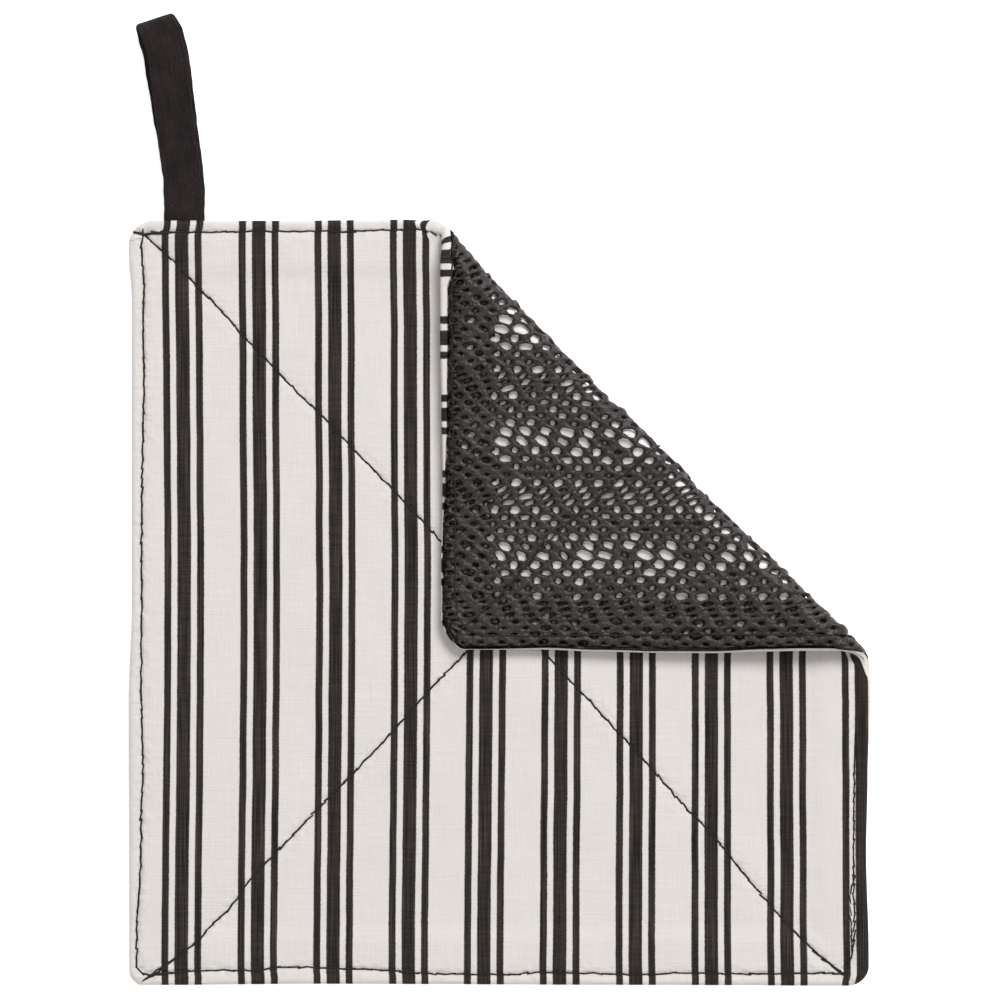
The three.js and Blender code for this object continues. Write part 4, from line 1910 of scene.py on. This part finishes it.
@dataclass(frozen=True)
class TwillTape:
    """Black cotton twill."""

    colour: tuple[float, float, float] = (0.0165, 0.0108, 0.0108)
    least_tone: float = 0.35
    lint: tuple[float, float, float, float] = (0.10, 0.085, 0.08, 1)
    lint_spots: Grain = Grain(1.3, 1)
    lint_over: tuple[float, float] = (0.24, 0.3114)
    lint_share: float = 0.8
    rib: float = 0.62
    rib_lean: float = 0.9
    rib_tone: float = 0.3
    rib_height: float = 0.045
    cross: float = 0.372
    cross_lean: float = 1.4
    cross_tone: float = 0.15
    cross_height: float = 0.02
    fuzz: Grain = Grain(2.4, 3)
    fuzz_tone: float = 1.9
    fuzz_height: float = 0.08
    streak: Streaks = Streaks(0.12, 2.6, 0.0, 2, 1.8)
    cloud: Grain = Grain(0.16, 2, 1.5)
    rough: float = 0.8
    shine: float = 0.2

    def material(self) -> bpy.types.Material:
        """Builds the tape's material.

        Returns:
            The material.
        """
        material, board = material_board("twill_tape")
        place = board.read(FLAT)
        along, across, _ = board.axes(place)
        rib = ((along + across * self.rib_lean) * (FULL_TURN / self.rib)).sine()
        cross = ((along - across * self.cross_lean) * (FULL_TURN / self.cross)).sine()
        fuzz = self.fuzz.on(board, place)
        tone = rib * self.rib_tone + cross * self.cross_tone + fuzz * self.fuzz_tone
        tone = tone + self.streak.on(board, along, across) + self.cloud.on(board, place) + 1.0
        lint = self.lint_spots.on(board, place).ramp(*self.lint_over) * self.lint_share
        colour = board.mixed(lint, board.shade(self.colour, tone.most(self.least_tone)), self.lint)
        relief = rib * self.rib_height + cross * self.cross_height + fuzz * self.fuzz_height
        board.surface(colour, self.rough, relief, 1.0, Specular_IOR_Level=self.shine)
        return material


@dataclass(frozen=True)
class HangingLoop:
    """A strip that leaves the top seam, turns over at its tip and comes back below itself."""

    pattern: FlatPattern
    fold: CornerFold
    width: float = 11.1
    thick: float = 1.0
    tuck: float = 6.1
    turn_half: float = 4.0
    shift: float = 1.4
    shift_from: float = 12.0
    shift_over: float = 28.0
    switch: float = 12.0
    tip_slope: float = 0.33
    tip_round: tuple[float, float] = (0.6, 2.0)
    edge_waves: Rows = ((0.12, 13, 8), (0.06, 4, 9))
    flats: int = 9
    round_turns: tuple[float, ...] = (0.9, 0.35, -0.35, -0.9)
    groove: float = 0.12
    groove_half: float = 0.5
    step: float = 0.8
    plan_step: float = 0.5
    stitch_in: float = 1.05
    stitch_from: float = 1.0
    stitch_to: float = 0.5
    girths: tuple[float, float] = (1.0, 0.85)
    sunk_below: float = 0.34
    sunk_above: float = 0.08
    side: Rows = (
        (-6.1, 1.4), (0, 1.4), (8, 1.1), (20, 0.9), (40, 0.9), (51.3, 0.9), (53.3, 1.7), (54.1, 3.7),
        (53.3, 5.7), (51.3, 6.5), (46, 6.5), (38, 6.1), (28, 4.7), (18, 3.3), (10, 2.7), (0, 2.6),
        (-6.1, 2.6),
    )
    plan: Rows = (
        (0, -6.1), (0, 0), (-0.25, 10.8), (-1.8, 25), (-2.9, 34), (-4.3, 45), (-5.9, 50.5), (-7.5, 54.6),
        (-7.9, 55.6),
    )

    def frames(self) -> tuple[np.ndarray, np.ndarray, np.ndarray, np.ndarray]:
        """Follows the strip from its lower end to its upper one.

        Returns:
            Middle points, directions across and out of the strip, and lengths along it.
        """
        line = smooth_path(self.side, self.step)
        along, height = line.T
        run = np.gradient(line, axis=0)
        run /= np.linalg.norm(run, axis=1, keepdims=True)
        plan = smooth_path(self.plan, self.plan_step)
        order = np.argsort(plan[:, 1])
        across = np.interp(along, plan[order, 1], plan[order, 0])
        slope = np.interp(along, plan[order, 1], np.gradient(plan[order, 0], plan[order, 1]))
        lean = np.stack([np.ones_like(slope), -np.maximum(slope, -self.tip_slope)], -1)
        lean /= np.linalg.norm(lean, axis=1, keepdims=True)
        share = np.linspace(0, 1, len(line))
        is_lower = np.clip((0.5 - share) * self.switch + 0.5, 0, 1)
        behind = self.shift * is_lower * np.clip((along - self.shift_from) / self.shift_over, 0, 1)
        middle = self.pattern.loop_at + across - behind
        points = np.stack([middle, self.pattern.half_length + along, height], -1)
        sideways = np.concatenate([lean, np.zeros((len(line), 1))], 1)
        outward = np.stack([-run[:, 1] * slope, -run[:, 1], run[:, 0]], -1)
        outward /= np.linalg.norm(outward, axis=1, keepdims=True)
        lengths = np.concatenate([[0], np.cumsum(np.linalg.norm(np.diff(points, axis=0), axis=1))])
        return points, sideways, -outward, lengths

    def section(self) -> np.ndarray:
        """Draws the strip's section, which has flat faces and rounded edges.

        Returns:
            Places across and heights, in order round it.
        """
        radius = self.thick / 2
        flat_half = self.width / 2 - radius
        across = np.linspace(-flat_half, flat_half, self.flats)
        turns = [(radius * math.cos(turn), radius * math.sin(turn)) for turn in self.round_turns]
        upper = [(x, radius) for x in across]
        right = [(flat_half + out, level) for out, level in turns]
        lower = [(x, -radius) for x in across[::-1]]
        left = [(-flat_half - out, level) for out, level in reversed(turns)]
        return np.array(upper + right + lower + left)

    def build(self) -> bpy.types.Object:
        """Builds the strip as a closed sweep of its rounded section.

        Returns:
            The strip's object.
        """
        points, sideways, outward, lengths = self.frames()
        section = self.section()
        half, count = self.width / 2, len(section)
        wavy = sum(
            height * waves(lengths, lengths * 0, length, seed) for height, length, seed in self.edge_waves
        )
        bell = np.exp(-((section[:, 0] - half + self.stitch_in) / self.groove_half) ** 2)
        level = section[:, 1] - self.groove * bell * np.sign(section[:, 1])
        rows, printed = [], []
        for point, side, out, length, sway in zip(points, sideways, outward, lengths, wavy):
            past_tip = abs(length - lengths[-1] / 2) / self.tip_round[1]
            rounded = self.tip_round[0] * max(0.0, 1 - past_tip) ** 2
            across = section[:, 0] * (1 + (sway - rounded) / half)
            rows.append(point + np.outer(across, side) + np.outer(level, out))
            printed.append(np.stack([np.full(count, length), section[:, 0], section[:, 1]], -1))
        faces = []
        for base in range(0, (len(rows) - 1) * count, count):
            for i in range(count):
                j = (i + 1) % count
                faces.append([base + i, base + count + i, base + count + j, base + j])
        faces.append(list(range(count)))
        faces.append(list(range((len(rows) - 1) * count, len(rows) * count))[::-1])
        values = {FLAT: np.concatenate(printed)}
        return mesh_object("loop_strip", self.fold.bend(np.concatenate(rows)), faces, **values)

    def stitch_runs(self) -> list[Run]:
        """Lays the stitches inside the strip's right edge, on the face turned out.

        Returns:
            The runs below and above the strip's turn.
        """
        points, sideways, outward, lengths = self.frames()
        turn = lengths[-1] / 2
        lift = self.thick / 2 - np.where(lengths < turn, self.sunk_below, self.sunk_above)
        line = points + sideways * (self.width / 2 - self.stitch_in) + outward * lift[:, None]
        lower = (lengths > self.tuck + self.stitch_from) & (lengths < turn - self.turn_half)
        upper = (lengths > turn + self.turn_half) & (lengths < lengths[-1] - self.tuck - self.stitch_to)
        return [Run(line[side], outward[side], girth) for side, girth in zip((lower, upper), self.girths)]


@dataclass(frozen=True)
class SoftLight:
    """A round area light that looks at the middle: its place and width in metres, and its power."""

    name: str
    place: tuple[float, float, float]
    width: float
    power: float

    def build(self) -> None:
        """Adds the light."""
        light = bpy.data.lights.new(self.name, "AREA")
        light.shape = "DISK"
        light.size = self.width
        light.energy = self.power
        made = linked(self.name, light)
        made.location = self.place
        made.rotation_euler = (-Vector(self.place)).to_track_quat("-Z", "Y").to_euler()


@dataclass(frozen=True)
class Studio:
    """The pale floor, the soft lights and the camera straight above, in metres."""

    frame_width: float = 0.27137
    frame_middle: tuple[float, float] = (7e-5, -6e-5)
    lens: float = 220.0
    sensor: float = 36.0
    sight: float = 20.0
    floor_frames: float = 4.0
    floor_drop: float = 2e-4
    paint: tuple[float, float, float] = (0.93, 0.93, 0.93)
    cloud: Grain = Grain(40, 2, 0.02)
    tooth: Grain = Grain(300, 1)
    tooth_depth: float = 0.02
    floor_rough: float = 0.7
    floor_glow: float = 0.6
    sky: float = 0.42
    lights: tuple[SoftLight, ...] = (
        SoftLight("top_light", (0.85, 1.7, 2.1), 1.4, 71.5),
        SoftLight("fill_light", (-0.4, -1.6, 2.2), 2.6, 16.0),
    )

    def build(self, face_height: float) -> None:
        """Builds the stage.

        Args:
            face_height: Height of the cloth's face, where the frame's width is measured.
        """
        self.camera(face_height)
        self.floor()
        for light in self.lights:
            light.build()
        world = bpy.data.worlds.new("studio")
        world.use_nodes = True
        board = Board(world.node_tree)
        white = {"Color": (1, 1, 1, 1), "Strength": self.sky}
        board.end("ShaderNodeOutputWorld", {"Surface": board.node("ShaderNodeBackground", inputs=white)})
        bpy.context.scene.world = world

    def floor(self) -> None:
        """Adds the floor."""
        half = self.floor_frames * self.frame_width
        square = ((-1, -1), (1, -1), (1, 1), (-1, 1))
        corners = np.array([(x * half, y * half, -self.floor_drop) for x, y in square])
        floor = mesh_object("floor", corners, [[0, 1, 2, 3]])
        material, board = material_board("pale_floor")
        place = board.object_place()
        colour = board.shade(self.paint, self.cloud.on(board, place) + 1.0)
        glow = {"Emission_Color": (1, 1, 1, 1), "Emission_Strength": self.floor_glow}
        board.surface(colour, self.floor_rough, self.tooth.on(board, place), self.tooth_depth, **glow)
        floor.data.materials.append(material)

    def camera(self, face_height: float) -> None:
        """Adds the camera, upright with the photograph.

        Args:
            face_height: Height of the cloth's face, where the frame's width is measured.
        """
        camera = bpy.data.cameras.new("overhead")
        camera.lens = self.lens
        camera.sensor_width = self.sensor
        camera.clip_end = self.sight
        made = linked("overhead", camera)
        made.location = (*self.frame_middle, face_height + self.frame_width * self.lens / self.sensor)
        bpy.context.scene.camera = made


def seam_runs(cotton: CottonFace, is_net: bool) -> list[Run]:
    """Lays the seams on one face of the gripper.

    Args:
        cotton: The cotton, whose crown the stitches follow.
        is_net: True for the net's face, which shows the main lines alone.

    Returns:
        The runs of stitches.
    """
    seams, fold = cotton.seams, cotton.fold
    lines, girths = seams.lines(), seams.girths
    if not is_net:
        lines, girths = lines + seams.doubled(), girths + seams.girths_twice
    runs = []
    for (x, y), girth in zip((line.T for line in lines), girths):
        level = np.full(len(x), seams.inside_net)
        if not is_net:
            level = cotton.crown(x, y, cotton.pattern.depth(x, y), np.ones(len(x))) + seams.above_cotton
        line = np.stack([x, y, level], -1)
        runs.append(Run(line, fold.upward(line) * (-1 if is_net else 1), girth))
    return runs


def main() -> None:
    """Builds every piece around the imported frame."""
    logging.basicConfig(level=logging.INFO, format="%(message)s")
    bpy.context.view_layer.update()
    pattern = FlatPattern()
    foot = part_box("face_cloth")[0].y
    fold = CornerFold(pattern, Vector((0, foot + (pattern.half_length + pattern.foot_stray) * MM, 0)))
    seams = SeamLines()
    Studio().build(pattern.top * MM)

    cotton = CottonFace(pattern, fold, seams)
    cloth = cotton.build()
    dress(cloth, StripedCotton().material(seams, fold.reach))
    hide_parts("face_cloth")

    vinyl = CharcoalVinyl().material()
    net = GripNet(pattern, fold, seams)
    face_net = net.build(Layer.FACE, vinyl)
    dress(face_net, vinyl)
    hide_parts("grip_mesh")
    allowance = net.build(Layer.ALLOWANCE, vinyl)
    dress(allowance, vinyl)

    loop = HangingLoop(pattern, fold)
    strip = loop.build()
    dress(strip, TwillTape().material())
    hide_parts("hanging_loop")

    thread = BlackThread().material()
    stitching = Stitching(fold)
    sewn = {
        "cotton_stitches": seam_runs(cotton, False), "net_stitches": seam_runs(cotton, True),
        "loop_stitches": loop.stitch_runs(),
    }
    for name, runs in sewn.items():
        dress(stitching.build(name, runs, thread), thread)

    bpy.context.scene.view_settings.view_transform = "Standard"


if __name__ == "__main__":
    main()
